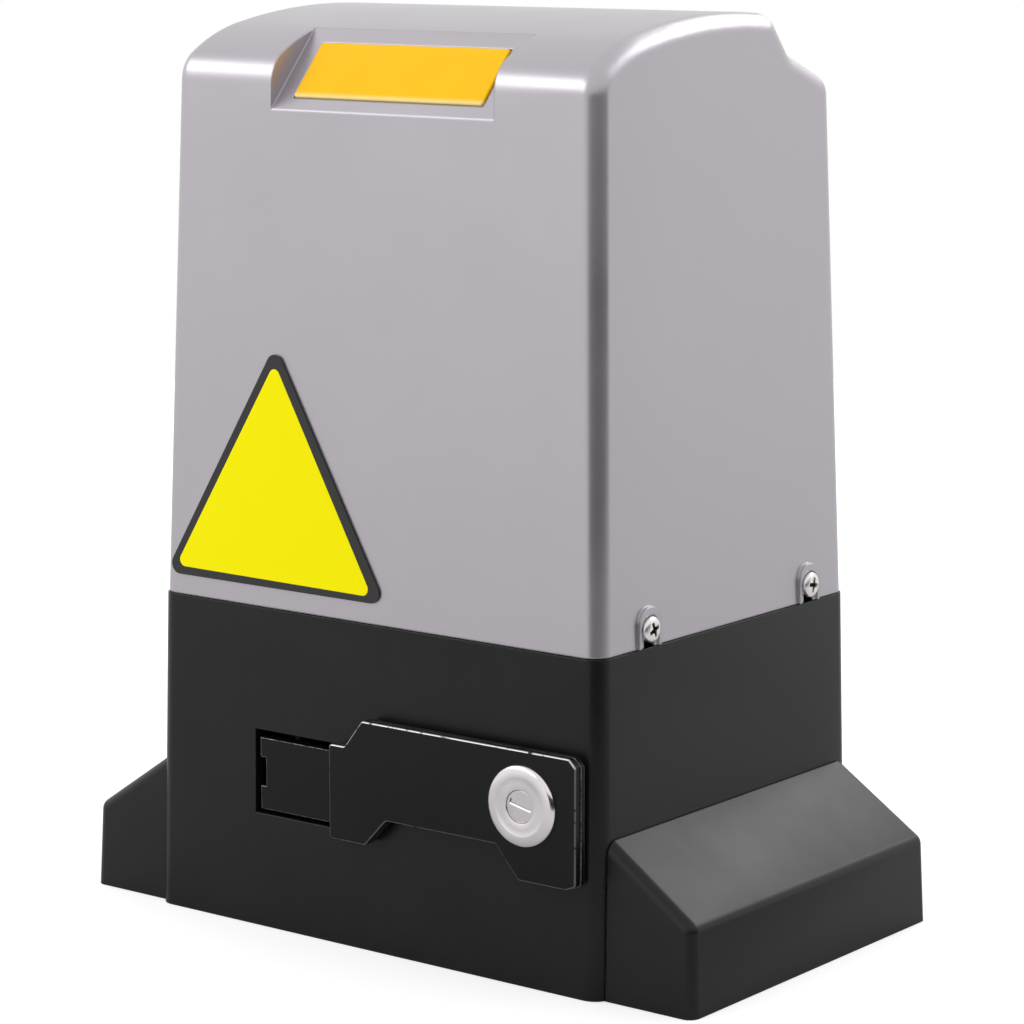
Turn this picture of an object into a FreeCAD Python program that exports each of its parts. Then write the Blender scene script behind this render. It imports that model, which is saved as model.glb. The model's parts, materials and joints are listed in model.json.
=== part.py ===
"""Sliding gate motor: a gear casing with foot covers, a moulded top cover, a key-locked
release lever, a worm drive with a dog clutch, and the motor and control board inside.

Frame: origin on the ground under the middle of the casing, +X to the right seen from the
front, +Y to the rear where the pinion meets the gate's rack, +Z up. Millimetres.
"""
import FreeCAD, Part
import math
import os
import Sketcher

Vector = FreeCAD.Vector
doc = FreeCAD.newDocument("SlidingGateMotor")
sheet = doc.addObject("Spreadsheet::Sheet", "Sizes")
nodes = []


class Size:
    """A number together with the spreadsheet expression that gives it."""

    def __init__(self, number, text):
        self.number = float(number)
        self.text = text

    def __add__(self, other):
        other = as_size(other)
        return Size(self.number + other.number, f"({self.text} + {other.text})")

    def __sub__(self, other):
        other = as_size(other)
        return Size(self.number - other.number, f"({self.text} - {other.text})")

    def __mul__(self, other):
        other = as_size(other)
        return Size(self.number * other.number, f"({self.text} * {other.text})")

    def __truediv__(self, other):
        other = as_size(other)
        return Size(self.number / other.number, f"({self.text} / {other.text})")

    def __rsub__(self, other):
        return as_size(other) - self

    def __neg__(self):
        return as_size(0) - self

    __radd__ = __add__
    __rmul__ = __mul__

    def __float__(self):
        return self.number


def as_size(value):
    """A plain number written as a size, or a size as it is."""
    return value if isinstance(value, Size) else Size(value, f"{float(value):.10g}")


def sheet_cells(values):
    """Each named number goes into a cell of the sheet under its name, and comes back as a size."""
    sizes = {}
    for row, (name, number) in enumerate(values.items(), start=1):
        sheet.set(f"A{row}", name.replace("_", " "))
        sheet.set(f"B{row}", f"{number}")
        sheet.setAlias(f"B{row}", name)
        sizes[name] = Size(number, f"Sizes.{name}")
    return sizes


def tangent(angle):
    """Tangent of an angle in degrees."""
    return Size(math.tan(math.radians(angle.number)), f"tan({angle.text} * 1 deg)")


def sine(angle):
    """Sine of an angle in degrees."""
    return Size(math.sin(math.radians(angle.number)), f"sin({angle.text} * 1 deg)")


def cosine(angle):
    """Cosine of an angle in degrees."""
    return Size(math.cos(math.radians(angle.number)), f"cos({angle.text} * 1 deg)")


def root(value):
    """Square root of a size."""
    return Size(math.sqrt(value.number), f"sqrt({value.text})")


def bind(item, prop, value):
    """Tie a property to its size."""
    item.setExpression(prop, as_size(value).text)


# Outer form of the casing
body_width = 210  # casing width at the seam
body_depth = 162  # casing depth at the seam
seam_height = 123.8  # top of the casing, where the cover starts
body_draft = 1.04  # casing draft in degrees, wider at the ground
body_corner = 7  # radius of the upright corners
casing_wall = 5  # wall of the casing
deck_top = 112  # upper face of the deck under the motor
deck_thick = 6  # thickness of the deck
lip_height = 18  # lip above the seam that the cover slides over
lip_wall = 3  # thickness of the lip
lip_corner = 6  # corner radius of the lip
lip_gap = 0.4  # clearance between the lip and the cover

# Top cover
cover_inset = 0.3  # step in from the casing to the cover at the seam
cover_draft = 1.64  # cover draft in degrees, narrower at the top
cover_wall = 3  # wall of the cover
cover_round = 7.5  # radius along the cover's side edges
seam_gap = 0.3  # hairline between the cover and the casing
cover_headroom = 80.8  # board shelf to the crown's highest line
crown_radius = 277  # long radius of the crown
crown_crest = 92  # distance of the highest line behind the front
brow_depth = 35.3  # where the long radius meets the brow
brow_radius = 69  # radius of the brow
brow_drop = 19.7  # from the crown's highest line to where the brow meets the front wall
front_round = 14  # radius of the front top edge
step_back = 118  # start of the step down behind the crown
step_foot = 129.5  # foot of the step down
ledge_drop = 15.8  # from the crown's highest line to the ledge at the foot of the step
ledge_fall = 22  # slope of the ledge in degrees
step_round = 9  # radius at the top of the step
step_fillet = 5  # hollow radius at the foot of the step
ledge_round = 9  # radius from the ledge to the rear wall

# Badge recess in the brow
recess_drop = 16.3  # lower edge of the badge recess, below the brow
recess_slope = 48.9  # slope of the recess floor in degrees
recess_width = 104  # width of the recess
recess_shift = 2  # middle of the recess, right of the centre
badge_width = 88.4  # badge plate width
badge_length = 25.2  # badge plate length up the slope
badge_start = 6  # badge plate's lower edge, up the slope
badge_thick = 2  # badge plate thickness
badge_seat = 1.2  # depth of the seat under the badge plate
badge_gap = 0.3  # gap round the badge plate
recess_reach = 60  # length of the recess up its slope, past the crown
recess_open = 40  # height of the cut above the recess floor, past the crown

# Sign plate on the front
sign_width = 109.4  # base of the triangular plate
sign_height = 92  # height of the triangular plate
sign_low = 132  # lower edge of the triangular plate
sign_shift = -46.8  # middle of the triangular plate
sign_thick = 0.9  # thickness of the triangular plate
sign_corner = 4  # corner radius of the triangular plate

# Cover screws and their lugs
screw_front = 30.2  # front cover screws, behind the front at the seam
screw_pitch = 104.1  # distance between the two screws of a side
screw_height = 130.6  # height of the cover screws
screw_thread = 5  # cover screw thread diameter
screw_head = 9.6  # cover screw head diameter
screw_head_rise = 2.6  # cover screw head height
screw_reach = 14  # cover screw length under the head
lug_width = 13.6  # width of the raised lug round a screw
lug_high = 138.9  # top of a lug
lug_seat = 0.8  # depth of the flat that the screw head lies on
lug_seat_gap = 0.5  # gap between the screw head and the rim of its flat
lug_rise = 1.2  # rise of the lug from the cover
lug_slot = 6.5  # open slot in the lug

# Foot covers and flanges
foot_top = 58.3  # height of a foot cover at the casing
foot_crest = 32.8  # height of a foot cover's outer crest
foot_reach = 39.9  # overhang of a foot cover at the ground
foot_draft = 2.06  # foot cover draft in degrees
foot_front = 1.7  # foot cover set back from the front
foot_rear = 160  # rear of a foot cover, behind the front
foot_round = 4.5  # foot cover edge radius
foot_wall = 2.5  # foot cover wall
foot_rib = 2  # ribs inside a foot cover
foot_gap = 0.3  # gap between a foot cover and the casing
flange_reach = 33  # fixing flange past the casing
flange_thick = 9  # thickness of the fixing flange
flange_gap = 6.65  # from an end of the fixing flange to the foot cover's wall
anchor_pitch_x = 248  # distance between the slots across
anchor_pitch_y = 104  # distance between the slots front to back
anchor_slot = 11  # width of a slot, for an M10 anchor
anchor_length = 20  # length of a slot

# Output shaft, bearings and pinion
shaft_x = -40  # output shaft, left of the centre
shaft_height = 60.5  # output shaft above the ground
shaft_dia = 20  # output shaft diameter
collar_dia = 28  # spring collar diameter
running_gap = 0.05  # radial running clearance
side_gap = 0.3  # clearance along a shaft
bearing_dia = 42  # output bearing outer diameter
bearing_width = 12  # output bearing width
bearing_boss = 58  # boss round an output bearing
bulkhead_y = -50  # middle of the front bearing
rear_bearing_y = 64  # middle of the rear bearing
seal_width = 7  # shaft seal width
rear_boss = 4  # boss outside the rear wall
gear_module = 4  # module of the output pinion
pinion_teeth = 17  # teeth of the output pinion
pinion_face = 28  # face width of the output pinion
pinion_hub = 44  # hub diameter of the output pinion
pinion_hub_length = 5  # hub of the pinion towards the casing
pressure_angle = 20  # pressure angle in degrees
bolt_thread = 8  # pinion bolt thread diameter
bolt_head = 13  # pinion bolt head across flats
bolt_head_rise = 5.3  # pinion bolt head height
bolt_reach = 20  # pinion bolt length
washer_dia = 28  # pinion washer diameter
washer_thick = 3  # pinion washer thickness
key_width = 6  # key width
key_rise = 2.8  # key above the shaft

# Worm, wheel and dog clutch
worm_module = 2  # module of the worm drive
wheel_teeth = 30  # teeth of the worm wheel
wheel_y = 5  # middle plane of the worm wheel
wheel_face = 14  # face width of the worm wheel
wheel_web = 8  # web of the worm wheel
wheel_hub = 44  # hub diameter of the worm wheel
worm_pitch_dia = 20  # pitch diameter of the worm
worm_turns = 5  # turns of the worm thread
mesh_gap = 0.3  # clearance on each flank of the mesh
dog_count = 4  # dogs on the clutch ring
dog_width = 8  # width of a dog
dog_rise = 4  # height of a dog
ring_dia = 40  # clutch ring diameter
ring_length = 12  # clutch ring length
clutch_travel = 5  # travel that frees the wheel
spring_dia = 26  # clutch spring outer diameter
spring_wire = 2  # clutch spring wire
spring_length = 20  # clutch spring length when engaged
spring_turns = 4  # turns of the clutch spring
pin_dia = 6  # release pin diameter
cross_pin_dia = 4  # cross pin diameter

# Release lever and lock
hinge_inset = 7  # hinge pin behind the casing's front face
hinge_pin_dia = 5  # hinge pin diameter
window_left = -56.1  # left side of the release window
window_right = -2  # right side of the release window
window_low = 44.1  # bottom of the release window
window_high = 76.8  # top of the release window
tongue_left = -53.4  # left end of the release tongue
tongue_low = 46  # bottom of the release tongue
tongue_high = 73.6  # top of the release tongue
tongue_thick = 4  # thickness of the release tongue
tongue_notch = 11.4  # height of the notch in the tongue's end
tongue_notch_depth = 2.7  # depth of the notch in the tongue's end
cam_radius = 10  # release cam radius at rest
lever_front = 7.5  # lever's front face before the casing
lever_plate = 3  # thickness of the lever's front plate
lever_back = 2  # thickness of the lever's back plate
lever_left = -13.2  # left end of the lever plate
lever_right = 101  # right end of the lever plate
lever_top = 89.4  # top of the lever plate
lever_neck_top = 78.6  # top of the lever plate's neck
lever_low = 41.4  # bottom of the lever plate
lever_arch = 53.2  # underside of the lever plate's middle
lever_shoulder = -5.6  # foot of the slope from the neck to the top
lever_slope = 8.4  # run of the sloped shoulder
arch_left = 3.9  # left foot of the arch under the lever
arch_right = 75.4  # right foot of the arch under the lever
arch_slope = 10.2  # run of the arch's sloped ends
lever_chamfer = 3  # cut corners of the lever's wide end
lever_lap = 0.4  # back plate past the front plate on the right
lever_round = 0.8  # rounded rim of the lever's front
lever_corner = 1.6  # rounded corners of the lever's outline
lock_x = 77.5  # lock, right of the centre
lock_height = 69.2  # lock above the ground
lock_ring_dia = 30  # lock ring diameter
lock_dish_dia = 21  # lock ring's inner diameter
lock_barrel_dia = 18  # lock barrel diameter
lock_plug_dia = 12  # lock plug diameter
lock_rise = 2  # lock ring above the lever
lock_dish = 1.4  # depth of the dish in the lock ring
cam_blade = 15  # lock cam from the plug's axis to its tip
cam_blade_width = 7  # width of the lock cam
cam_blade_thick = 2  # thickness of the lock cam

# Motor
motor_dia = 112  # stator diameter
bell_height = 26  # height of an end bell
bell_wall = 4  # wall of an end bell
stator_height = 72  # stator stack height
stator_ring = 25  # stator stack from its bore to its outside
air_gap = 0.5  # gap between the rotor and the stator
winding_height = 16  # winding head height
rotor_shaft_dia = 15  # rotor shaft diameter
rotor_bearing_dia = 35  # rotor bearing outer diameter
rotor_bearing_width = 11  # rotor bearing width
fan_dia = 84  # motor fan diameter
fan_height = 14  # motor fan height
fan_blades = 7  # blades of the motor fan
motor_bolt_dia = 5  # motor bolt diameter

# Sump plate and cable way
sump_thick = 4  # thickness of the sump plate
sump_screw = 5  # sump plate screw thread diameter
sump_post = 8  # radius of the posts above the sump screws
sump_screw_head = 9  # sump plate screw head diameter
sump_screw_sink = 2.6  # depth of a sump screw's counterbore
sump_screw_reach = 10  # sump screw past the plate
sump_boss = 46  # boss round the lower rotor bearing
sump_bearing_low = 8  # underside of the lower rotor bearing
duct_x = -84  # cable way, left of the centre
duct_y = 46  # cable way behind the centre
duct_bore = 22  # bore of the cable way
duct_wall = 3  # wall of the cable way

# Control gear
shelf_rise = 30  # top of the board shelf above the motor, clear of the fan
shelf_width = 150  # width of the board shelf
shelf_depth = 96  # depth of the board shelf
leg_depth = 24  # depth of a shelf leg
leg_front = 10  # front edge of a shelf leg
leg_foot = 12  # foot of a shelf leg on the deck
sheet_thick = 1.5  # sheet steel thickness
board_width = 136  # control board width
board_depth = 86  # control board depth
board_thick = 1.6  # control board thickness
spacer_height = 8  # spacers under the control board
spacer_dia = 7  # spacer diameter
capacitor_dia = 36  # run capacitor diameter
capacitor_height = 82  # run capacitor height
capacitor_x = -78.5  # run capacitor, left of the centre
capacitor_y = -30  # run capacitor, before the centre
core_width = 24  # transformer core width
core_depth = 50  # transformer core depth
core_height = 42  # transformer core height
core_x = 82  # transformer, right of the centre
core_y = -17  # transformer, before the centre
core_limb = 17  # middle limb of the core
core_window = 9  # window of the core, front to back
core_yoke = 9  # yoke above and below a window
winding_gap = 0.2  # gap between the winding and the core's window
winding_lap = 3  # winding past each side of the core
relay_count = 3  # relays on the board
relay_width = 16  # relay width
relay_depth = 20  # relay depth
relay_height = 15  # relay height
relay_gap = 4  # gap between relays
relay_left = -56  # left side of the first relay
relay_front = 8  # front of the relays
terminal_pitch = 5.08  # pitch of the terminals
terminal_depth = 9  # depth of a terminal block
terminal_height = 12  # height of a terminal block
terminal_inset = 3  # terminal block behind the board's front edge
terminal_mouth = 4  # width of a terminal's mouth
power_terminals = 5  # terminals of the supply block
power_left = -58  # left end of the supply block
signal_terminals = 10  # terminals of the signal block
signal_left = 2  # left end of the signal block
smoother_dia = 13  # board capacitor diameter
smoother_height = 22  # board capacitor height
smoother_pitch = 16  # distance between the board capacitors
smoother_count = 3  # board capacitors
smoother_left = 20  # axis of the first board capacitor
smoother_rear = 20  # board capacitors, behind the centre
button_x = 14  # learn button, right of the centre
button_y = -11  # learn button, before the centre
button_base_side = 6  # side of the learn button's base
button_base_height = 3.5  # height of the learn button's base
button_dia = 3.4  # learn button cap diameter
button_height = 4  # learn button cap height
button_lift = 1.6  # underside of the cap above the board
clamp_width = 14  # width of the capacitor's clamp band
clamp_share = 0.25  # clamp band up the capacitor, as a share of its height
clamp_band = 1  # thickness of the clamp band
clamp_foot = 7  # foot of the clamp past its ear
limit_x = 24  # limit switch, right of the centre
limit_height = 108  # limit switch arm above the ground
limit_box = 34  # limit switch box width
limit_box_height = 16  # limit switch box height
limit_box_depth = 14  # limit switch box behind the casing
limit_arm_dia = 6  # limit switch arm coil diameter
limit_turns = 7  # turns of the arm's coil
limit_wire = 1.6  # wire of the arm's coil
limit_arm_reach = 34  # limit switch arm length

# From here on each of these names means its cell of the sheet
globals().update(sheet_cells({name: number for name, number in globals().items()
                              if isinstance(number, (int, float))}))
doc.recompute()

hinge_x = shaft_x
half_width = body_width / 2
half_depth = body_depth / 2
front_y = -half_depth
stator_bore = motor_dia - stator_ring * 2
stator_low = deck_top + bell_height
stator_high = stator_low + stator_height
motor_top = stator_high + bell_height
shelf_height = motor_top + shelf_rise
crown_height = shelf_height + cover_headroom
brow_height = crown_height - brow_drop
ledge_height = crown_height - ledge_drop
recess_low = brow_height - recess_drop
flange_length = foot_rear - foot_front - (foot_wall + flange_gap) * 2


def behind_front(distance):
    """A place given as a distance behind the front face at the seam."""
    return distance + front_y


def casing_grow(height):
    """How far the drafted casing stands out at a height, past its size at the seam."""
    return (seam_height - height) * tangent(body_draft)


def cover_shrink(height):
    """How far the drafted cover stands in at a height, from the casing at the seam."""
    return cover_inset + (height - seam_height) * tangent(cover_draft)


# Helpers for primitives and booleans
TURNS = {
    "X": FreeCAD.Rotation(Vector(0, 1, 0), 90),
    "Y": FreeCAD.Rotation(Vector(1, 0, 0), -90),
    "Z": FreeCAD.Rotation(),
}


def put(item, at):
    """Place an item's own origin at a point of sizes."""
    for letter, value in zip("xyz", at):
        bind(item, f"Placement.Base.{letter}", value)
    return item


def block(name, low, spans):
    """Box from its lowest corner and its three spans."""
    item = doc.addObject("Part::Box", name)
    for prop, value in zip(("Length", "Width", "Height"), spans):
        bind(item, prop, value)
    return put(item, low)


def rod(name, at, radius, length, axis="Z"):
    """Cylinder from the middle of its first face, along an axis."""
    item = doc.addObject("Part::Cylinder", name)
    item.Placement = FreeCAD.Placement(Vector(), TURNS[axis])
    bind(item, "Radius", radius)
    bind(item, "Height", length)
    return put(item, at)


def cone(name, at, first_radius, second_radius, length, axis="Z"):
    """Cone frustum from the middle of its first face, along an axis."""
    item = doc.addObject("Part::Cone", name)
    item.Placement = FreeCAD.Placement(Vector(), TURNS[axis])
    bind(item, "Radius1", first_radius)
    bind(item, "Radius2", second_radius)
    bind(item, "Height", length)
    return put(item, at)


def join(name, items):
    """Fusion of several items."""
    item = doc.addObject("Part::MultiFuse", name)
    item.Shapes = items
    return item


def carve(name, base, tools):
    """An item with one or more others cut out of it."""
    item = doc.addObject("Part::Cut", name)
    item.Base = base
    item.Tool = tools[0] if len(tools) == 1 else join(f"{name}_tools", tools)
    return item


def overlap(name, first, second):
    """The space that two items share."""
    item = doc.addObject("Part::Common", name)
    item.Base = first
    item.Tool = second
    return item


def tube(name, at, outer, inner, length, axis="Z"):
    """Ring or tube from its outer and inner radius."""
    outside = rod(f"{name}_outside", at, outer, length, axis)
    inside = rod(f"{name}_inside", at, inner, length, axis)
    return carve(name, outside, [inside])


def mirrored(name, source):
    """A copy on the other side of the middle plane across X."""
    item = doc.addObject("Part::Mirroring", name)
    item.Source = source
    item.Normal = Vector(1, 0, 0)
    return item


def group(name, items):
    """Several like pieces that stay separate solids in one node."""
    item = doc.addObject("Part::Compound", name)
    item.Links = items
    return item


def feature(name, shape):
    """A piece whose shape is worked out in code from the sheet's sizes."""
    item = doc.addObject("Part::Feature", name)
    item.Shape = shape
    item.Placement = shape.Placement
    return item


def node(name, item):
    """Name a finished piece and keep it for writing."""
    item.Label = name
    nodes.append(item)
    return item


# Helpers for sketched bodies
PLANES = {"XY": ("XY_Plane", 1), "XZ": ("XZ_Plane", -1), "YZ": ("YZ_Plane", 1)}


def new_body(name):
    return doc.addObject("PartDesign::Body", name)


def sketch_on(body, name, plane, level=0):
    """An empty sketch on one of the body's own planes, moved along the plane's normal."""
    role, sign = PLANES[plane]
    drawing = body.newObject("Sketcher::SketchObject", name)
    base = next(item for item in body.Origin.OriginFeatures if item.Role == role)
    drawing.AttachmentSupport = [(base, "")]
    drawing.MapMode = "FlatFace"
    bind(drawing, "AttachmentOffset.Base.z", as_size(level) * sign)
    return drawing


def pin_point(drawing, index, corner, point):
    """Fix a sketch point at two sizes measured from the sketch's origin."""
    for kind, value in zip(("DistanceX", "DistanceY"), point):
        value = as_size(value)
        row = drawing.addConstraint(
            Sketcher.Constraint(kind, -1, 1, index, corner, value.number))
        drawing.setExpression(f"Constraints[{row}]", value.text)


def outline(drawing, steps):
    """Closed outline. A step is an end point (x, y), or (x, y, mid x, mid y) for an arc."""
    count = len(steps)
    ends = []
    for number, step in enumerate(steps):
        start = Vector(float(steps[number - 1][0]), float(steps[number - 1][1]), 0)
        stop = Vector(float(step[0]), float(step[1]), 0)
        if len(step) == 2:
            index = drawing.addGeometry(Part.LineSegment(start, stop), False)
            ends.append((index, 1, 2))
            continue
        middle = Vector(float(step[2]), float(step[3]), 0)
        index = drawing.addGeometry(Part.Arc(start, middle, stop), False)
        turn = (middle - start).cross(stop - middle).z
        ends.append((index, 1, 2) if turn > 0 else (index, 2, 1))
        helper = drawing.addGeometry(Part.Point(middle), True)
        pin_point(drawing, helper, 1, step[2:])
        drawing.addConstraint(Sketcher.Constraint("PointOnObject", helper, 1, index))
    for number in range(count):
        index, first, last = ends[number]
        after, after_first, _ = ends[(number + 1) % count]
        drawing.addConstraint(Sketcher.Constraint("Coincident", index, last, after, after_first))
        pin_point(drawing, index, last, steps[number][:2])
    return drawing


def circle(drawing, at, radius):
    """Circle in a sketch."""
    place = Vector(float(at[0]), float(at[1]), 0)
    index = drawing.addGeometry(Part.Circle(place, Vector(0, 0, 1), float(radius)), False)
    row = drawing.addConstraint(Sketcher.Constraint("Radius", index, float(radius)))
    drawing.setExpression(f"Constraints[{row}]", as_size(radius).text)
    pin_point(drawing, index, 3, at)
    return drawing


def rectangle(low, high):
    """Outline steps of an upright rectangle."""
    return [(low[0], low[1]), (high[0], low[1]), (high[0], high[1]), (low[0], high[1])]


def grow(body, drawing, length, towards=1, both=False, taper=None):
    """Pad a sketch along its axis, towards plus or minus, or to both sides."""
    pad = body.newObject("PartDesign::Pad", f"{drawing.Name}_pad")
    pad.Profile = drawing
    bind(pad, "Length", length)
    sign = PLANES[plane_of(drawing)][1]
    if both:
        pad.Midplane = True
    else:
        pad.Reversed = towards != sign
    if taper is not None:
        bind(pad, "TaperAngle", taper)
    drawing.Visibility = False
    doc.recompute()
    return pad


def plane_of(drawing):
    """Name of the plane that a sketch lies on."""
    role = drawing.AttachmentSupport[0][0].Role
    return role.split("_")[0]


def sink(body, drawing, length, towards=1, both=False):
    """Pocket a sketch along its axis, and make sure that it cut something."""
    before = body.Shape.Volume
    pocket = body.newObject("PartDesign::Pocket", f"{drawing.Name}_pocket")
    pocket.Profile = drawing
    bind(pocket, "Length", length)
    sign = PLANES[plane_of(drawing)][1]
    if both:
        pocket.Midplane = True
    else:
        pocket.Reversed = towards == sign
    doc.recompute()
    if body.Shape.Volume > before - 1e-6:
        raise RuntimeError(f"{drawing.Name} cut nothing")
    return pocket


def round_edges(body, base, radius, chosen):
    """Fillet the edges of the last feature that a test picks."""
    names = [f"Edge{i + 1}" for i, edge in enumerate(base.Shape.Edges) if chosen(edge)]
    if not names:
        raise RuntimeError(f"no edge to round on {body.Name}")
    fillet = body.newObject("PartDesign::Fillet", f"{base.Name}_round")
    fillet.Base = (base, names)
    bind(fillet, "Radius", radius)
    doc.recompute()
    return fillet


def upright(edge):
    """An edge that runs mostly up and down."""
    box = edge.BoundBox
    return box.ZLength > 3 * max(box.XLength, box.YLength)


def along(edge, letter):
    """An edge that runs mostly along one axis."""
    box = edge.BoundBox
    spans = {"X": box.XLength, "Y": box.YLength, "Z": box.ZLength}
    others = [value for key, value in spans.items() if key != letter]
    return spans[letter] > 8 * max(others)


def casing_form(name, gap):
    """Drafted block with rounded uprights: the casing's outer form, larger by a gap."""
    body = new_body(name)
    drawing = sketch_on(body, f"{name}_plan", "XY", seam_height)
    outline(drawing, rectangle((-half_width - gap, -half_depth - gap),
                               (half_width + gap, half_depth + gap)))
    pad = grow(body, drawing, seam_height, towards=-1, taper=body_draft)
    round_edges(body, pad, body_corner + gap, upright)
    return body


def rounded_block(name, half_x, half_y, low, high, corner):
    """Upright block centred on the origin with rounded uprights."""
    body = new_body(name)
    drawing = sketch_on(body, f"{name}_plan", "XY", low)
    outline(drawing, rectangle((-half_x, -half_y), (half_x, half_y)))
    pad = grow(body, drawing, high - low)
    round_edges(body, pad, corner, upright)
    return body


def front_at(height):
    """The casing's front face at a height."""
    return front_y - casing_grow(height)


def make_housing():
    """Gear casing: drafted shell with a deck, a lip, a bulkhead and bosses."""
    shell = casing_form("casing_block", 0)
    inside_x = half_width - casing_wall
    inside_y = half_depth - casing_wall
    deck_low = deck_top - deck_thick
    chamber = rounded_block("chamber", inside_x, inside_y, as_size(-1), deck_low,
                            body_corner - casing_wall + 2)
    lip_inset = cover_shrink(seam_height + lip_height) + cover_wall + lip_gap
    lip_x = half_width - lip_inset
    lip_y = half_depth - lip_inset
    lip = rounded_block("lip_block", lip_x, lip_y, seam_height - 2, seam_height + lip_height,
                        lip_corner)
    tray = rounded_block("tray", lip_x - lip_wall, lip_y - lip_wall, deck_top,
                         seam_height + lip_height + 1, lip_corner - lip_wall)
    bearing_low = bulkhead_y - bearing_width / 2
    bulkhead = block("bulkhead", (-inside_x, bulkhead_y - 3, sump_thick + side_gap),
                     (inside_x * 2, 6, deck_low - sump_thick - side_gap))
    front_boss = rod("front_boss", (shaft_x, bearing_low - 2, shaft_height), bearing_boss / 2,
                     bearing_width + 4, "Y")
    rear_low = rear_bearing_y - bearing_width / 2 - 2
    outside_y = half_depth + casing_grow(shaft_height)
    rear_boss_rod = rod("rear_boss_rod", (shaft_x, rear_low, shaft_height), bearing_boss / 2,
                        outside_y + rear_boss - rear_low, "Y")
    rotor_boss = rod("rotor_boss", (0, wheel_y, deck_top - rotor_bearing_width - 3),
                     rotor_bearing_dia / 2 + 6, rotor_bearing_width + 2)
    duct = rod("duct_outside", (duct_x, duct_y, 0), duct_bore / 2 + duct_wall, deck_low + 1)
    lugs = [
        block(f"hinge_lug_{name}", (hinge_x - 7, front_y + 3, low), (14, hinge_inset + 3, 7))
        for name, low in (("low", window_low - 7.4), ("high", window_high + 0.4))
    ]
    posts = [rod(f"sump_post_{number}", (x_part, y_part, sump_thick + 0.2), sump_post, 14)
             for number, (x_part, y_part) in enumerate(sump_screw_places())]
    screw_bosses = [
        rod(f"screw_boss_{x_sign}_{y_sign}", (start, cover_screw_y(y_sign), screw_height),
            screw_thread / 2 + 3, 9, "X")
        for x_sign, start in ((-1, -lip_x + 1), (1, lip_x - 10)) for y_sign in (-1, 1)
    ]
    hollowed = carve("casing_hollowed", shell, [chamber])
    body = join("casing_joined", [hollowed, lip])
    body = carve("casing_open", body, [tray])
    body = join("casing_full", [body, bulkhead, front_boss, rear_boss_rod, rotor_boss, duct]
                + lugs + screw_bosses + posts)
    cuts = [
        rod("front_bearing_bore", (shaft_x, bearing_low, shaft_height), bearing_dia / 2,
            bearing_width + 3, "Y"),
        rod("front_shaft_bore", (shaft_x, bearing_low - 3, shaft_height), shaft_dia / 2 + 3, 6, "Y"),
        rod("rear_bearing_bore", (shaft_x, rear_low + 2, shaft_height), bearing_dia / 2,
            outside_y + rear_boss - rear_low, "Y"),
        rod("rear_shaft_bore", (shaft_x, rear_low - 1, shaft_height), bearing_dia / 2 - 3, 4, "Y"),
        rod("rotor_bearing_bore", (0, wheel_y, deck_top - rotor_bearing_width),
            rotor_bearing_dia / 2, rotor_bearing_width + 1),
        rod("rotor_shaft_bore", (0, wheel_y, deck_low - 12), rotor_shaft_dia / 2 + 3, 14),
        rod("duct_hole", (duct_x, duct_y, -1), duct_bore / 2, deck_top + 3),
        block("release_window", (window_left, front_y - 6, window_low),
              (window_right - window_left, 12, window_high - window_low)),
        rod("hinge_pin_hole", (hinge_x, front_y + hinge_inset, window_low - 7),
            hinge_pin_dia / 2, window_high - window_low + 14),
        rod("lock_hole", (lock_x, front_y - 6, lock_height), lock_barrel_dia / 2 + 1.5, 14, "Y"),
        block("lock_slot", (lock_x - cam_blade - 2, front_y - 6,
                            lock_height - cam_blade_width / 2 - 1.5),
              (cam_blade + 2, 14, cam_blade_width + 3)),
    ]
    for x_sign in (-1, 1):
        for y_sign in (-1, 1):
            cuts.append(rod(f"screw_hole_{x_sign}_{y_sign}",
                            (-lip_x - 1 if x_sign < 0 else lip_x - 11,
                             cover_screw_y(y_sign), screw_height),
                            screw_thread / 2, 12, "X"))
    for number, (x_part, y_part) in enumerate(sump_screw_places()):
        cuts.append(rod(f"sump_screw_hole_{number}", (x_part, y_part, sump_thick),
                        sump_screw / 2, sump_screw_reach))
    for number, (x_part, y_part) in enumerate(motor_bolt_places()):
        cuts.append(rod(f"motor_bolt_hole_{number}", (x_part, y_part, deck_low - 1),
                        motor_bolt_dia / 2, deck_thick + 2))
    node("gearbox_housing", carve("casing_finished", body, cuts))


def motor_bolt_places():
    """The four through bolts of the motor, in the ears of its end bells."""
    reach = (motor_dia / 2 + motor_bolt_dia * 0.9) * math.sqrt(0.5)
    return [(x_sign * reach, wheel_y + y_sign * reach) for x_sign in (-1, 1) for y_sign in (-1, 1)]


def sump_screw_places():
    """The sump plate's screws, in the corners and the middle of the long sides."""
    reach_x = half_width - casing_wall - 7
    reach_y = half_depth - casing_wall - 7
    return [(side * reach_x, depth * reach_y) for side in (-1, 0.12, 1) for depth in (-1, 1)]


def cover_screw_y(sign):
    """Depth of the front or the rear cover screws."""
    return behind_front(screw_front) + (screw_pitch if sign > 0 else 0)


def slot_cut(y_sign):
    """Slotted anchor hole in the right flange, long side across the casing."""
    width = anchor_slot / 2
    run = anchor_length - anchor_slot
    middle_x = anchor_pitch_x / 2
    middle_y = anchor_pitch_y / 2 * y_sign
    name = f"anchor_{y_sign}"
    return join(name, [
        block(f"{name}_run", (middle_x - run / 2, middle_y - width, -1),
              (run, anchor_slot, flange_thick + 2)),
        rod(f"{name}_first", (middle_x - run / 2, middle_y, -1), width, flange_thick + 2),
        rod(f"{name}_second", (middle_x + run / 2, middle_y, -1), width, flange_thick + 2),
    ])


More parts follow.
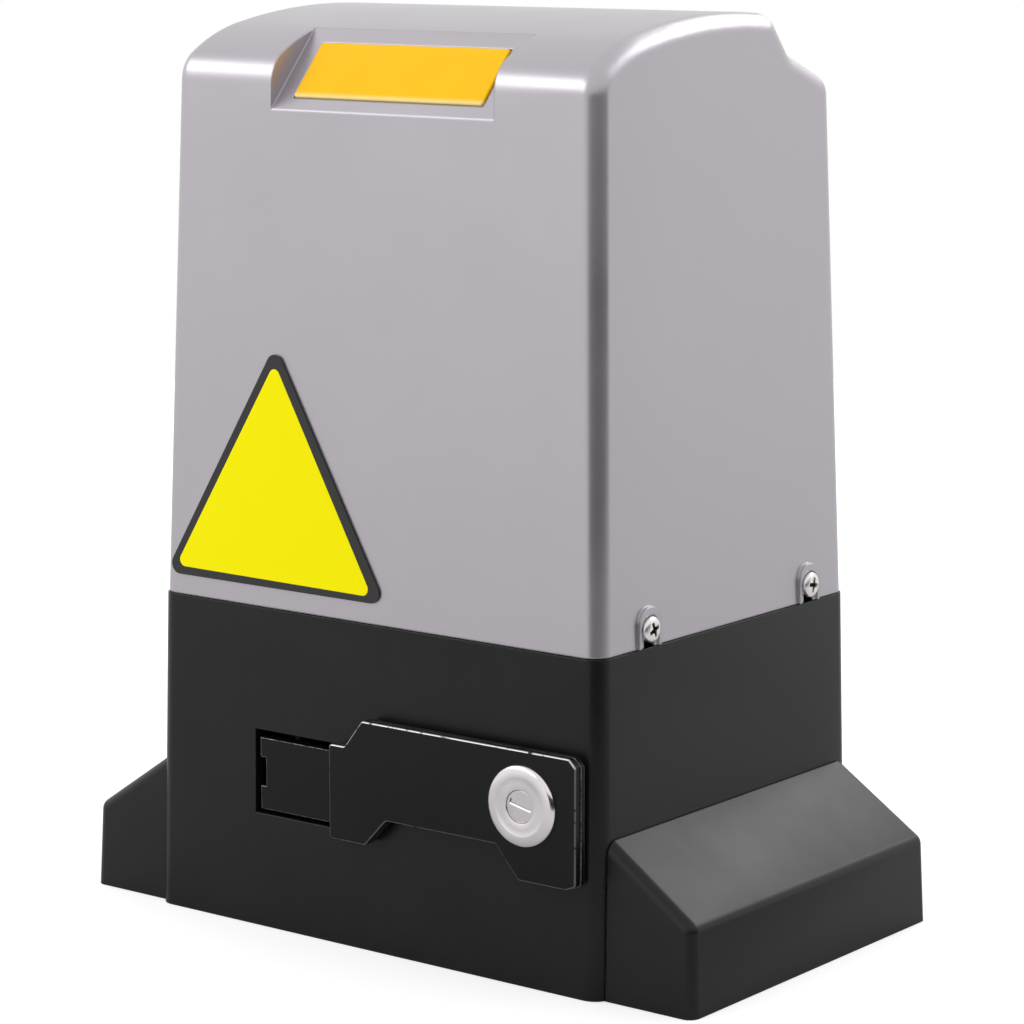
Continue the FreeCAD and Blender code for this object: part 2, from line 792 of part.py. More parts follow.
def make_flanges():
    """Fixing flange on each side, fitted to the casing's drafted wall, with two anchor slots."""
    bar = block("flange_bar", (half_width - casing_wall / 2, -flange_length / 2, 0),
                (flange_reach + casing_wall / 2, flange_length, flange_thick))
    right = carve("flange_right", bar, [casing_form("flange_seat", 0), slot_cut(-1), slot_cut(1)])
    node("fixing_flanges", group("flange_pair", [right, mirrored("flange_left", right)]))


def make_sump_plate():
    """Plate that closes the casing from below, with the lower rotor bearing's boss."""
    half_x = half_width - casing_wall - lip_gap
    half_y = half_depth - casing_wall - lip_gap
    plate = rounded_block("sump_block", half_x, half_y, as_size(0), sump_thick, 3)
    boss = rod("sump_boss_rod", (0, wheel_y, 0), sump_boss / 2,
               sump_bearing_low + rotor_bearing_width)
    cuts = [
        rod("sump_bearing_bore", (0, wheel_y, sump_bearing_low), rotor_bearing_dia / 2,
            rotor_bearing_width + 1),
        rod("sump_duct_hole", (duct_x, duct_y, -1), duct_bore / 2 + duct_wall + lip_gap,
            sump_thick + 2),
    ]
    for number, (x_part, y_part) in enumerate(sump_screw_places()):
        cuts.append(rod(f"sump_plate_hole_{number}", (x_part, y_part, -1), sump_screw / 2 + 0.2,
                        sump_thick + 2))
        cuts.append(rod(f"sump_plate_sink_{number}", (x_part, y_part, -1),
                        sump_screw_head / 2 + 0.3, sump_screw_sink + 1))
    node("sump_plate", carve("sump_finished", join("sump_joined", [plate, boss]), cuts))
    screws = []
    for number, (x_part, y_part) in enumerate(sump_screw_places()):
        screws.append(join(f"sump_screw_{number}", [
            rod(f"sump_screw_head_{number}", (x_part, y_part, 0.4), sump_screw_head / 2,
                sump_screw_sink - 0.4),
            rod(f"sump_screw_shank_{number}", (x_part, y_part, 0.5), sump_screw / 2,
                sump_thick + sump_screw_reach - 1)]))
    node("sump_screws", group("sump_screw_group", screws))


def crown_outline(inset):
    """Side outline of the cover, drawn further in by an inset. The crown and the brow are
    two circles that touch where they meet; below them come the step, the ledge and the walls."""
    long_y = behind_front(crown_crest)
    long_z = crown_height - crown_radius
    meet_y = behind_front(brow_depth)
    meet_rise = root(crown_radius * crown_radius - (long_y - meet_y) * (long_y - meet_y))
    brow_share = brow_radius / crown_radius
    brow_y = meet_y + (long_y - meet_y) * brow_share
    brow_z = long_z + meet_rise - meet_rise * brow_share
    long_r = crown_radius - inset
    brow_r = brow_radius - inset

    def on_crown(place):
        return long_z + root(long_r * long_r - (place - long_y) * (place - long_y))

    def on_brow(place):
        return brow_z + root(brow_r * brow_r - (place - brow_y) * (place - brow_y))

    low = seam_height + seam_gap * (1 if float(inset) == 0 else -1)
    wall_low = front_y + cover_shrink(low) + inset
    wall_high = front_y + cover_shrink(brow_height) + inset
    start = long_y - (long_y - meet_y) * (long_r / crown_radius)
    stop = behind_front(step_back) - inset * 0.6
    foot = (behind_front(step_foot) - inset, ledge_height - inset)
    rear_end = -wall_high
    rear_height = foot[1] - (rear_end - foot[0]) * tangent(ledge_fall)
    brow_middle = (wall_high + start) / 2
    crown_middle = (start + stop) / 2
    return [
        (wall_low, low),
        (wall_high, on_brow(wall_high) if float(inset) else brow_height),
        (start, on_brow(start), brow_middle, on_brow(brow_middle)),
        (stop, on_crown(stop), crown_middle, on_crown(crown_middle)),
        foot,
        (rear_end, rear_height),
        (-wall_low, low),
    ]


def cover_form(name, inset):
    """The cover's outer form drawn further in by an inset: the side outline carried across,
    its flanks cut to the draft, its cross edges and then its side edges rounded."""
    inset = as_size(inset)
    body = new_body(name)
    drawing = outline(sketch_on(body, f"{name}_side", "YZ"), crown_outline(inset))
    pad = grow(body, drawing, body_width, both=True)
    flanks = sketch_on(body, f"{name}_flanks", "XZ")
    base = seam_height - 5
    top = crown_height + 5
    for side in (-1, 1):
        near = half_width - cover_inset - inset + 5 * tangent(cover_draft)
        far = half_width - cover_shrink(top) - inset
        outline(flanks, [(side * near, base), (side * (half_width + 5), base),
                         (side * (half_width + 5), top), (side * far, top)])
    pad = sink(body, flanks, body_depth + 20, both=True)
    rounds = [
        (front_round - inset, front_y, brow_height, 12),
        (step_round - inset, behind_front(step_back), crown_height - 1, 8),
        (step_fillet + inset, behind_front(step_foot), ledge_height, 6),
        (ledge_round - inset, half_depth - 5, ledge_height - 12, 8),
    ]
    last = pad
    for radius, place_y, place_z, reach in rounds:
        last = round_edges(body, last, radius, across_near(place_y, place_z, reach))
    last = round_edges(body, last, cover_round - inset, flank_edge)
    return body


def across_near(place_y, place_z, reach):
    """Test for edges that run across the object near a depth and a height."""
    def chosen(edge):
        box = edge.BoundBox
        middle = box.Center
        near = math.hypot(middle.y - float(place_y), middle.z - float(place_z)) < reach
        return along(edge, "X") and near
    return chosen


def flank_edge(edge):
    """Edges where the flanks meet the rest of the cover, apart from the open lower rim."""
    box = edge.BoundBox
    at_side = min(abs(box.XMin), abs(box.XMax)) > float(half_width) - 12
    return at_side and box.ZMax > float(seam_height) + 3


def slope_point(up, out):
    """A point of the badge recess, up its floor and out from it, as depth and height."""
    low_y = front_y + cover_shrink(recess_low)
    return (low_y + up * cosine(recess_slope) - out * sine(recess_slope),
            recess_low + up * sine(recess_slope) + out * cosine(recess_slope))


def slope_band(start, stop, low, high):
    """Outline steps of a rectangle that lies on the recess floor."""
    return [slope_point(start, low), slope_point(stop, low),
            slope_point(stop, high), slope_point(start, high)]


def slope_bar(name, start, stop, low, high, width, shift):
    """A bar that lies along the recess floor, centred on a shift."""
    body = new_body(name)
    drawing = sketch_on(body, f"{name}_side", "YZ", shift)
    outline(drawing, slope_band(start, stop, low, high))
    grow(body, drawing, width, both=True)
    return body


def make_cover():
    """Moulded top cover: crowned shell with the badge recess, four slotted lugs."""
    outside = cover_form("cover_outside", 0)
    inside = cover_form("cover_inside", cover_wall)
    recess = slope_bar("recess", as_size(0), recess_reach, as_size(0), recess_open,
                       recess_width, recess_shift)
    recess_back = slope_bar("recess_back", -recess_open / 2, recess_reach + recess_open / 2,
                            -cover_wall, recess_open * 1.25, recess_width + cover_wall * 2,
                            recess_shift)
    seat = slope_bar("badge_seat_cut", badge_start - badge_gap,
                     badge_start + badge_length + badge_gap, -badge_seat, as_size(1),
                     badge_width + badge_gap * 2, recess_shift)
    hollow = carve("cover_hollow", inside, [recess_back])
    lugs = [cover_lug(x_sign, y_sign) for x_sign in (-1, 1) for y_sign in (-1, 1)]
    full = join("cover_full", [outside] + lugs)
    slots = [lug_opening(x_sign, y_sign) for x_sign in (-1, 1) for y_sign in (-1, 1)]
    node("top_cover", carve("cover_finished", full, [hollow, recess, seat] + slots))


def lug_shape(name, width, x_sign, y_sign, rise, depth):
    """Upright tongue with a round top, standing on the seam, seen from the side."""
    middle = cover_screw_y(y_sign)
    low = seam_height + seam_gap
    round_at = lug_high - width / 2
    wall_x = half_width - cover_shrink(screw_height)
    start = wall_x - depth if x_sign > 0 else -(wall_x + rise)
    whole = join(f"{name}_whole", [
        block(f"{name}_leg", (start, middle - width / 2, low),
              (depth + rise, width, round_at - low)),
        rod(f"{name}_head", (start, middle, round_at), width / 2, depth + rise, "X"),
    ])
    return carve(name, whole, [
        block(f"{name}_under", (start - 1, middle - width, low - width),
              (depth + rise + 2, width * 2, width))])


def cover_lug(x_sign, y_sign):
    """Raised pad round a cover screw."""
    return lug_shape(f"lug_{x_sign}_{y_sign}", lug_width, x_sign, y_sign, lug_rise,
                     cover_wall * 0.6)


def open_slot(name, start, run, middle, width):
    """Upright slot through the cover's rim, round above, from a depth along X."""
    return join(name, [
        block(f"{name}_leg", (start, middle - width / 2, seam_height - 1),
              (run, width, screw_height - seam_height + 1)),
        rod(f"{name}_head", (start, middle, screw_height), width / 2, run, "X"),
    ])


def lug_opening(x_sign, y_sign):
    """Slot open at the rim, so that the cover drops over its screws, in a sunk flat."""
    name = f"lug_slot_{x_sign}_{y_sign}"
    middle = cover_screw_y(y_sign)
    wall_x = half_width - cover_shrink(screw_height)
    run = cover_wall * 2 + lug_rise * 2
    start = wall_x - cover_wall * 2 if x_sign > 0 else -(wall_x + lug_rise * 2)
    flat_x = wall_x + lug_rise - lug_seat
    flat_start = flat_x if x_sign > 0 else -(flat_x + run)
    return join(name, [
        open_slot(f"{name}_way", start, run, middle, lug_slot),
        open_slot(f"{name}_flat", flat_start, run, middle, screw_head + lug_seat_gap * 2),
    ])


def pan_screw(name, at, axis, side, shank_dia, head_dia, head_rise, reach):
    """Pan head screw: a shank, and a head with a rounded rim on the outer side."""
    x_part, y_part, z_part = at
    if side < 0:
        shank_at = (x_part, y_part, z_part)
        head_at = (x_part - head_rise, y_part, z_part)
    else:
        shank_at = (x_part - reach, y_part, z_part)
        head_at = (x_part, y_part, z_part)
    head = rod(f"{name}_head", head_at, head_dia / 2, head_rise, axis)
    shank = rod(f"{name}_shank", shank_at, shank_dia / 2, reach, axis)
    rim = doc.addObject("Part::Fillet", f"{name}_rim")
    rim.Base = head
    doc.recompute()
    outermost = min if side < 0 else max
    rims = [(number + 1, edge) for number, edge in enumerate(head.Shape.Edges)
            if isinstance(edge.Curve, Part.Circle)]
    chosen = outermost(rims, key=lambda pair: pair[1].CenterOfMass.x)
    radius = float(head_rise) * 0.55
    rim.Edges = [(chosen[0], radius, radius)]
    return join(name, [rim, shank])


def make_cover_screws():
    """Four pan head screws that hold the cover to the casing's lip."""
    screws = []
    wall_x = half_width - cover_shrink(screw_height) + lug_rise - lug_seat
    for x_sign in (-1, 1):
        for y_sign in (-1, 1):
            screws.append(pan_screw(
                f"cover_screw_{x_sign}_{y_sign}",
                (wall_x * x_sign, cover_screw_y(y_sign), screw_height), "X", x_sign,
                screw_thread - 0.1, screw_head, screw_head_rise, screw_reach))
    node("cover_screws", group("cover_screw_group", screws))


def make_badge_plate():
    """Blank domed badge plate in its seat."""
    body = new_body("badge")
    drawing = sketch_on(body, "badge_side", "YZ", recess_shift)
    outline(drawing, slope_band(badge_start, badge_start + badge_length,
                                -badge_seat, badge_thick - badge_seat))
    pad = grow(body, drawing, badge_width, both=True)
    normal = Vector(0, -float(sine(recess_slope)), float(cosine(recess_slope)))

    def short_edge(edge):
        line = edge.Vertexes[-1].Point - edge.Vertexes[0].Point
        return line.Length < float(badge_thick) * 1.01 and abs(line.normalize().dot(normal)) > 0.9

    last = round_edges(body, pad, as_size(1.2), short_edge)
    middle = slope_point(badge_start + badge_length / 2, badge_thick - badge_seat)
    top = Vector(0, float(middle[0]), float(middle[1])).dot(normal)

    def top_edge(edge):
        return all(abs(point.Point.dot(normal) - top) < 1e-4 for point in edge.Vertexes)

    round_edges(body, last, badge_thick * 0.35, top_edge)
    node("badge_plate", body)


def make_sign_plate():
    """Blank triangular plate that lies on the cover's drafted front wall."""
    slab = new_body("sign_slab")
    drawing = sketch_on(slab, "sign_slab_side", "YZ", sign_shift)
    low = seam_height + 2
    high = sign_low + sign_height + 5
    outline(drawing, [
        (front_y + cover_shrink(low) - sign_thick, low), (front_y + cover_shrink(low), low),
        (front_y + cover_shrink(high), high), (front_y + cover_shrink(high) - sign_thick, high)])
    grow(slab, drawing, sign_width + 20, both=True)
    prism = new_body("sign_prism")
    face = sketch_on(prism, "sign_prism_face", "XZ", front_y)
    outline(face, [(sign_shift - sign_width / 2, sign_low),
                   (sign_shift + sign_width / 2, sign_low),
                   (sign_shift, sign_low + sign_height)])
    pad = grow(prism, face, as_size(30), both=True)
    round_edges(prism, pad, sign_corner, lambda edge: along(edge, "Y"))
    node("sign_plate", overlap("sign_finished", slab, prism))


def foot_form(name, inset):
    """Half of the foot's form drawn further in by an inset: a drafted block under a slope."""
    inset = as_size(inset)
    body = new_body(name)
    drawing = sketch_on(body, f"{name}_plan", "XY")
    ground_x = half_width + foot_reach - inset
    outline(drawing, rectangle((half_width - 20, behind_front(foot_front) + inset),
                               (ground_x, behind_front(foot_rear) - inset)))
    pad = grow(body, drawing, foot_top + 15, taper=-foot_draft)
    slope = sketch_on(body, f"{name}_slope", "XZ")
    crest_x = ground_x - foot_crest * tangent(foot_draft)
    wall_x = half_width + casing_grow(foot_top)
    fall = (foot_top - foot_crest) / (crest_x + inset - wall_x)
    drop = inset * 1.2
    outline(slope, [
        (crest_x + 20, foot_crest - drop - fall * 20),
        (crest_x + 20, foot_top + 30),
        (wall_x - 30, foot_top + 30),
        (wall_x - 30, foot_top - drop + fall * 30)])
    cut = sink(body, slope, body_depth * 2, both=True)
    outer = float(half_width) + 5

    def rim(edge):
        box = edge.BoundBox
        return box.XMax > outer and box.ZMax > 1

    round_edges(body, cut, foot_round - inset * 0.8, rim)
    return body


def make_foot_covers():
    """Two hollow covers over the fixing flanges, the left one a mirror of the right."""
    outside = foot_form("foot_outside", 0)
    inside = foot_form("foot_inside", foot_wall)
    clear = casing_form("foot_clear", foot_gap)
    ribs = [block(f"foot_rib_{number}", (half_width, place - foot_rib / 2, flange_thick + 0.3),
                  (flange_reach, foot_rib, foot_top))
            for number, place in enumerate((-flange_length * 0.3, as_size(0),
                                            flange_length * 0.3))]
    ribbed = overlap("foot_ribs", join("foot_rib_blocks", ribs), outside)
    lowered = join("foot_ribbed", [carve("foot_hollow", outside, [inside]), ribbed])
    right = carve("foot_finished", lowered, [clear])
    node("right_foot_cover", right)
    node("left_foot_cover", mirrored("foot_mirror", right))


hinge_y = front_y + hinge_inset
front_bearing_low = bulkhead_y - bearing_width / 2
rear_bearing_low = rear_bearing_y - bearing_width / 2
shaft_front = front_bearing_low - 1
wheel_front = wheel_y - wheel_face / 2
wheel_rear = wheel_y + wheel_face / 2
ring_front = wheel_rear + side_gap
ring_rear = ring_front + ring_length
cross_y = ring_front + ring_length / 2
spring_front = ring_rear + side_gap
sleeve_front = spring_front + spring_length + side_gap
boss_face = half_depth + casing_grow(shaft_height) + rear_boss
hub_front = boss_face + side_gap * 3
teeth_front = hub_front + pinion_hub_length
teeth_rear = teeth_front + pinion_face
shaft_rear = teeth_rear - 2


def on_shaft(place):
    """A point on the output shaft's axis."""
    return (shaft_x, place, shaft_height)


def ring_bearing(name, at, outer, inner, width, axis):
    """Ball bearing as one ring: two races with a sunk shield between them on each side."""
    ring = tube(f"{name}_ring", at, outer, inner, width, axis)
    step = (outer - inner) * 0.28
    sunk = []
    for side in ("near", "far"):
        shift = as_size(-1) if side == "near" else width - 0.8
        place = list(at)
        index = "XYZ".index(axis)
        place[index] = place[index] + shift
        sunk.append(tube(f"{name}_{side}", tuple(place), outer - step, inner + step,
                         as_size(1.8), axis))
    return carve(name, ring, sunk)


def make_bearings():
    """Output shaft bearings and seal, rotor bearings."""
    bore = shaft_dia / 2 + running_gap
    node("front_bearing", ring_bearing("front_race", on_shaft(front_bearing_low),
                                       bearing_dia / 2, bore, bearing_width, "Y"))
    node("rear_bearing", ring_bearing("rear_race", on_shaft(rear_bearing_low),
                                      bearing_dia / 2, bore, bearing_width, "Y"))
    seal_low = rear_bearing_low + bearing_width + side_gap
    seal = tube("seal_ring", on_shaft(seal_low), bearing_dia / 2, bore, seal_width, "Y")
    groove = tube("seal_groove", on_shaft(seal_low - 1), bearing_dia / 2 - 3, bore + 2,
                  seal_width - 1, "Y")
    node("shaft_seal", carve("seal_finished", seal, [groove]))
    rotor_bore = rotor_shaft_dia / 2 + running_gap
    places = {"lower": sump_bearing_low, "middle": deck_top - rotor_bearing_width,
              "upper": motor_top - rotor_bearing_width}
    for name, low in places.items():
        node(f"{name}_rotor_bearing",
             ring_bearing(f"{name}_race", (0, wheel_y, low), rotor_bearing_dia / 2, rotor_bore,
                          rotor_bearing_width, "Z"))


def make_output_shaft():
    """Hollow output shaft with its front collar, and the sleeve behind the spring."""
    radius = shaft_dia / 2
    collar_low = front_bearing_low + bearing_width + side_gap
    body = join("shaft_joined", [
        rod("shaft_rod", on_shaft(shaft_front), radius, shaft_rear - shaft_front, "Y"),
        rod("shaft_collar", on_shaft(collar_low), collar_dia / 2, wheel_front - collar_low, "Y"),
    ])
    slot_low = cross_y - cross_pin_dia / 2 - side_gap
    cuts = [
        rod("pin_bore", on_shaft(shaft_front - 1), pin_dia / 2 + 0.15,
            ring_rear + clutch_travel + 2 - shaft_front, "Y"),
        block("cross_slot", (shaft_x - radius - 1, slot_low,
                             shaft_height - cross_pin_dia / 2 - side_gap),
              (shaft_dia + 2, clutch_travel + cross_pin_dia + side_gap * 2,
               cross_pin_dia + side_gap * 2)),
        block("shaft_keyway", (shaft_x - key_width / 2, teeth_front,
                               shaft_height + radius - key_width / 2),
              (key_width, pinion_face - 5, key_width)),
        rod("bolt_bore", on_shaft(shaft_rear - bolt_reach), bolt_thread / 2, bolt_reach + 1, "Y"),
    ]
    node("output_shaft", carve("shaft_finished", body, cuts))
    node("spring_sleeve", tube("sleeve", on_shaft(sleeve_front), collar_dia / 2, radius,
                               rear_bearing_low - side_gap - sleeve_front, "Y"))


def gear_outline(module, teeth, pressure):
    """Closed involute gear outline about the origin in the plane across Y. Each flank is
    the involute of the base circle from the base circle out to the tip circle."""
    pitch = module * teeth / 2
    base = pitch * math.cos(pressure)
    tip = pitch + module
    foot = pitch - 1.25 * module
    spread = math.pi / (2 * teeth) + math.tan(pressure) - pressure - 0.02 / teeth

    def spot(radius, angle):
        return Vector(radius * math.sin(angle), 0, radius * math.cos(angle))

    def flank(centre, side):
        places = []
        for share in (0, 0.35, 0.7, 1):
            radius = max(base, foot) + (tip - max(base, foot)) * share
            roll = math.sqrt((radius / base) ** 2 - 1)
            angle = spread - (roll - math.atan(roll))
            places.append(spot(radius, centre + side * angle))
        return places

    edges = []
    step = 2 * math.pi / teeth
    for number in range(int(teeth)):
        centre = number * step
        rising = flank(centre, -1)
        falling = flank(centre, 1)[::-1]
        root_start = spot(foot, centre - spread)
        root_stop = spot(foot, centre + spread)
        next_start = spot(foot, centre + step - spread)
        for points in (rising, falling):
            curve = Part.BSplineCurve()
            curve.interpolate(points)
            edges.append(curve.toShape())
        edges.append(Part.LineSegment(root_start, rising[0]).toShape())
        edges.append(Part.Arc(rising[-1], spot(tip, centre), falling[0]).toShape())
        edges.append(Part.LineSegment(falling[-1], root_stop).toShape())
        edges.append(Part.Arc(root_stop, spot(foot, centre + step / 2), next_start).toShape())
    return Part.Wire(Part.__sortEdges__(edges))


def make_pinion():
    """Output pinion with its hub, key, washer and bolt."""
    pressure = math.radians(float(pressure_angle))
    wire = gear_outline(float(gear_module), float(pinion_teeth), pressure)
    teeth = Part.Face(wire).extrude(Vector(0, float(pinion_face), 0))
    teeth.translate(Vector(*(float(value) for value in on_shaft(teeth_front))))
    toothed = feature("pinion_teeth_block", teeth)
    hub = rod("pinion_hub_rod", on_shaft(hub_front), pinion_hub / 2, pinion_hub_length + 1, "Y")
    bore = rod("pinion_bore", on_shaft(hub_front - 1), shaft_dia / 2,
               pinion_face + pinion_hub_length + 3, "Y")
    key_top = shaft_height + shaft_dia / 2 + key_rise
    keyway = block("pinion_keyway", (shaft_x - key_width / 2, hub_front - 1, shaft_height),
                   (key_width, pinion_face + pinion_hub_length + 3, key_top + 0.2 - shaft_height))
    node("output_pinion", carve("pinion_finished", join("pinion_joined", [toothed, hub]),
                                [bore, keyway]))
    key_low = shaft_height + shaft_dia / 2 - key_width / 2
    node("pinion_key", block("pinion_key_block", (shaft_x - key_width / 2, teeth_front, key_low),
                             (key_width, pinion_face - 5, key_top - key_low)))
    node("pinion_washer", tube("washer", on_shaft(teeth_rear), washer_dia / 2, bolt_thread / 2,
                               washer_thick, "Y"))
    head = doc.addObject("Part::Prism", "bolt_head_prism")
    head.Polygon = 6
    head.Placement = FreeCAD.Placement(Vector(), TURNS["Y"])
    bind(head, "Circumradius", bolt_head / math.sqrt(3))
    bind(head, "Height", bolt_head_rise)
    put(head, on_shaft(teeth_rear + washer_thick))
    shank = rod("bolt_shank", on_shaft(shaft_rear - bolt_reach + 2), bolt_thread / 2,
                teeth_rear + washer_thick - shaft_rear + bolt_reach - 1, "Y")
    node("pinion_bolt", join("bolt_joined", [head, shank]))


def make_worm_wheel():
    """Worm wheel: slanted tooth gaps cut from a blank, a web, a hub and the dog slots."""
    module = float(worm_module)
    teeth = int(float(wheel_teeth))
    pitch = module * teeth / 2
    face = float(wheel_face)
    lead = math.atan(module / float(worm_pitch_dia))
    slope = math.tan(math.radians(float(pressure_angle)))
    half_gap = math.pi * module / 4 + float(mesh_gap) / 2
    depth = module * 1.25
    rise = module + 1
    profile = Part.makePolygon([
        Vector(pitch + rise, 0, half_gap + rise * slope),
        Vector(pitch - depth, 0, half_gap - depth * slope),
        Vector(pitch - depth, 0, -half_gap + depth * slope),
        Vector(pitch + rise, 0, -half_gap - rise * slope),
        Vector(pitch + rise, 0, half_gap + rise * slope)])
    reach = face / 2 + 2
    run = Vector(0, 2 * reach, -2 * reach * math.tan(lead))
    gap = Part.Face(profile).extrude(run)
    gap.translate(run * -0.5)
    gaps = []
    for number in range(teeth):
        copy = gap.copy()
        copy.rotate(Vector(), Vector(0, 1, 0), 360 * number / teeth)
        gaps.append(copy)
    blank = Part.makeCylinder(pitch + module, face, Vector(0, -face / 2, 0), Vector(0, 1, 0))
    rim = blank.cut(gaps)
    rim.translate(Vector(*(float(value) for value in on_shaft(wheel_y))))
    toothed = feature("wheel_rim", rim)
    inner = worm_module * wheel_teeth / 2 - worm_module * 1.25 - 3.5
    side = (wheel_face - wheel_web) / 2
    recesses = [
        tube("wheel_front_recess", on_shaft(wheel_front - 1), inner, wheel_hub / 2, side + 1, "Y"),
        tube("wheel_rear_recess", on_shaft(wheel_rear - side), inner, wheel_hub / 2, side + 1, "Y"),
    ]
    slots = dog_bars("dog_slot", wheel_rear - dog_rise - side_gap, dog_rise + side_gap + 1,
                     dog_width + side_gap * 2, ring_dia / 2 + 0.5, shaft_dia / 2 + 2.5)
    bore = rod("wheel_bore", on_shaft(wheel_front - 1), shaft_dia / 2, wheel_face + 2, "Y")
    node("worm_wheel", carve("wheel_finished", toothed, recesses + [slots, bore]))


def dog_bars(name, low, length, width, outer, inner):
    """Radial bars spaced round the output shaft, between two radii."""
    bars = []
    for number in range(int(float(dog_count))):
        bar = Part.makeBox(float(outer) - float(inner) + 6, float(length), float(width),
                           Vector(float(inner) - 3, 0, -float(width) / 2))
        bar.rotate(Vector(), Vector(0, 1, 0), 360 * number / float(dog_count) + 45)
        bars.append(bar)
    length = float(length)
    band = Part.makeCylinder(float(outer), length, Vector(), Vector(0, 1, 0)).cut(
        Part.makeCylinder(float(inner), length, Vector(), Vector(0, 1, 0)))
    ring = band.common(Part.makeCompound(bars))
    ring.translate(Vector(*(float(value) for value in on_shaft(low))))
    return feature(name, ring)


def coil(radius, wire, turns, pitch):
    """Coil of round wire about Z, from its lowest wire centre. Each half turn is a half ring
    tilted so that its ends lie half a pitch apart; at the joints all half rings run level."""
    tilt = math.degrees(math.asin(pitch / (4 * radius)))
    halves = []
    for number in range(int(round(turns * 2))):
        half = Part.makeTorus(radius, wire / 2, Vector(), Vector(0, 0, 1), 0, 360, 180)
        side = number % 2
        half.rotate(Vector(), Vector(0, 0, 1), 180 * side)
        half.rotate(Vector(), Vector(0, 1, 0), -tilt if side else tilt)
        half.translate(Vector(0, 0, pitch * (2 * number + 1) / 4))
        halves.append(half)
    return halves[0].multiFuse(halves[1:])


def make_clutch():
    """Dog clutch: the sliding ring with its cross pin, the release pin and the spring."""
    ring = tube("clutch_tube", on_shaft(ring_front), ring_dia / 2, shaft_dia / 2 + running_gap,
                ring_length, "Y")
    dogs = dog_bars("dogs", ring_front - dog_rise, dog_rise + 1, dog_width,
                    ring_dia / 2, shaft_dia / 2 + 3)
    hole = rod("cross_hole", (shaft_x - ring_dia / 2 - 1, cross_y, shaft_height),
               cross_pin_dia / 2, ring_dia + 2, "X")
    node("clutch_ring", carve("clutch_finished", join("clutch_joined", [ring, dogs]), [hole]))
    tip = hinge_y + cam_radius + side_gap
    pin = join("release_pin_joined", [
        rod("release_rod", on_shaft(tip + pin_dia / 2), pin_dia / 2,
            cross_y + cross_pin_dia - tip - pin_dia / 2, "Y"),
        ball("release_tip", on_shaft(tip + pin_dia / 2), pin_dia / 2)])
    pin_hole = rod("release_pin_hole", (shaft_x - pin_dia, cross_y, shaft_height),
                   cross_pin_dia / 2, pin_dia * 2, "X")
    node("release_pin", carve("release_pin_finished", pin, [pin_hole]))
    node("cross_pin", rod("cross_pin_rod", (shaft_x - ring_dia / 2 + 1, cross_y, shaft_height),
                          cross_pin_dia / 2, ring_dia - 2, "X"))
    wire = float(spring_wire)
    turns = float(spring_turns)
    pitch = (float(spring_length) - wire) / turns
    spring = coil((float(spring_dia) - wire) / 2, wire, turns, pitch)
    spring.rotate(Vector(), Vector(1, 0, 0), -90)
    spring.translate(Vector(float(shaft_x), float(spring_front) + wire / 2, float(shaft_height)))
    node("clutch_spring", feature("clutch_coil", spring))


def ball(name, at, radius):
    """Sphere about a point."""
    item = doc.addObject("Part::Sphere", name)
    bind(item, "Radius", radius)
    return put(item, at)


def make_rotor():
    """Rotor shaft with its single-start worm thread, the rotor core and the fan."""
    radius = float(rotor_shaft_dia) / 2
    pitch_radius = float(worm_pitch_dia) / 2
    module = float(worm_module)
    lead = math.pi * module
    turns = float(worm_turns)
    slope = math.tan(math.radians(float(pressure_angle)))
    half_tooth = math.pi * module / 4 - float(mesh_gap)
    sunk = pitch_radius - radius + 0.4
    low = float(shaft_height) - lead * turns / 2
    profile = Part.makePolygon([
        Vector(pitch_radius - sunk, 0, half_tooth + sunk * slope),
        Vector(pitch_radius + module, 0, half_tooth - module * slope),
        Vector(pitch_radius + module, 0, -half_tooth + module * slope),
        Vector(pitch_radius - sunk, 0, -half_tooth - sunk * slope),
        Vector(pitch_radius - sunk, 0, half_tooth + sunk * slope)])
    path = Part.makeHelix(lead, lead * turns, pitch_radius)
    thread = Part.Wire(path).makePipeShell([profile], True, True)
    thread.rotate(Vector(), Vector(0, 0, 1), 180 - 180 * turns)
    thread.translate(Vector(0, float(wheel_y), low))
    threaded = feature("worm_thread", thread)
    start = sump_bearing_low + 0.5
    shaft = rod("rotor_rod", (0, wheel_y, start), rotor_shaft_dia / 2,
                motor_top + fan_height + 8 - start)
    node("worm_shaft", join("worm_joined", [shaft, threaded]))
    core_radius = stator_bore / 2 - air_gap
    core = tube("rotor_core_tube", (0, wheel_y, stator_low), core_radius, rotor_shaft_dia / 2,
                stator_height)
    ends = [tube(f"rotor_end_{name}", (0, wheel_y, low_end), core_radius - 2,
                 core_radius - 10, as_size(7))
            for name, low_end in (("low", stator_low - 6), ("high", stator_high - 1))]
    node("rotor_core", join("rotor_core_joined", [core] + ends))
    fan_low = motor_top + 4
    hub = tube("fan_hub", (0, wheel_y, fan_low), rotor_shaft_dia / 2 + 5, rotor_shaft_dia / 2,
               fan_height)
    disc = tube("fan_disc", (0, wheel_y, fan_low), fan_dia / 2 - 2, rotor_shaft_dia / 2,
                as_size(2))
    blades = []
    for number in range(int(float(fan_blades))):
        blade = Part.makeBox(float(fan_dia) / 2 - radius - 3, 2, float(fan_height),
                             Vector(radius + 3, -1, float(fan_low)))
        blade.rotate(Vector(), Vector(0, 0, 1), 360 * number / float(fan_blades))
        blade.translate(Vector(0, float(wheel_y), 0))
        blades.append(feature(f"fan_blade_{number}", blade))
    node("motor_fan", join("fan_joined", [hub, disc] + blades))


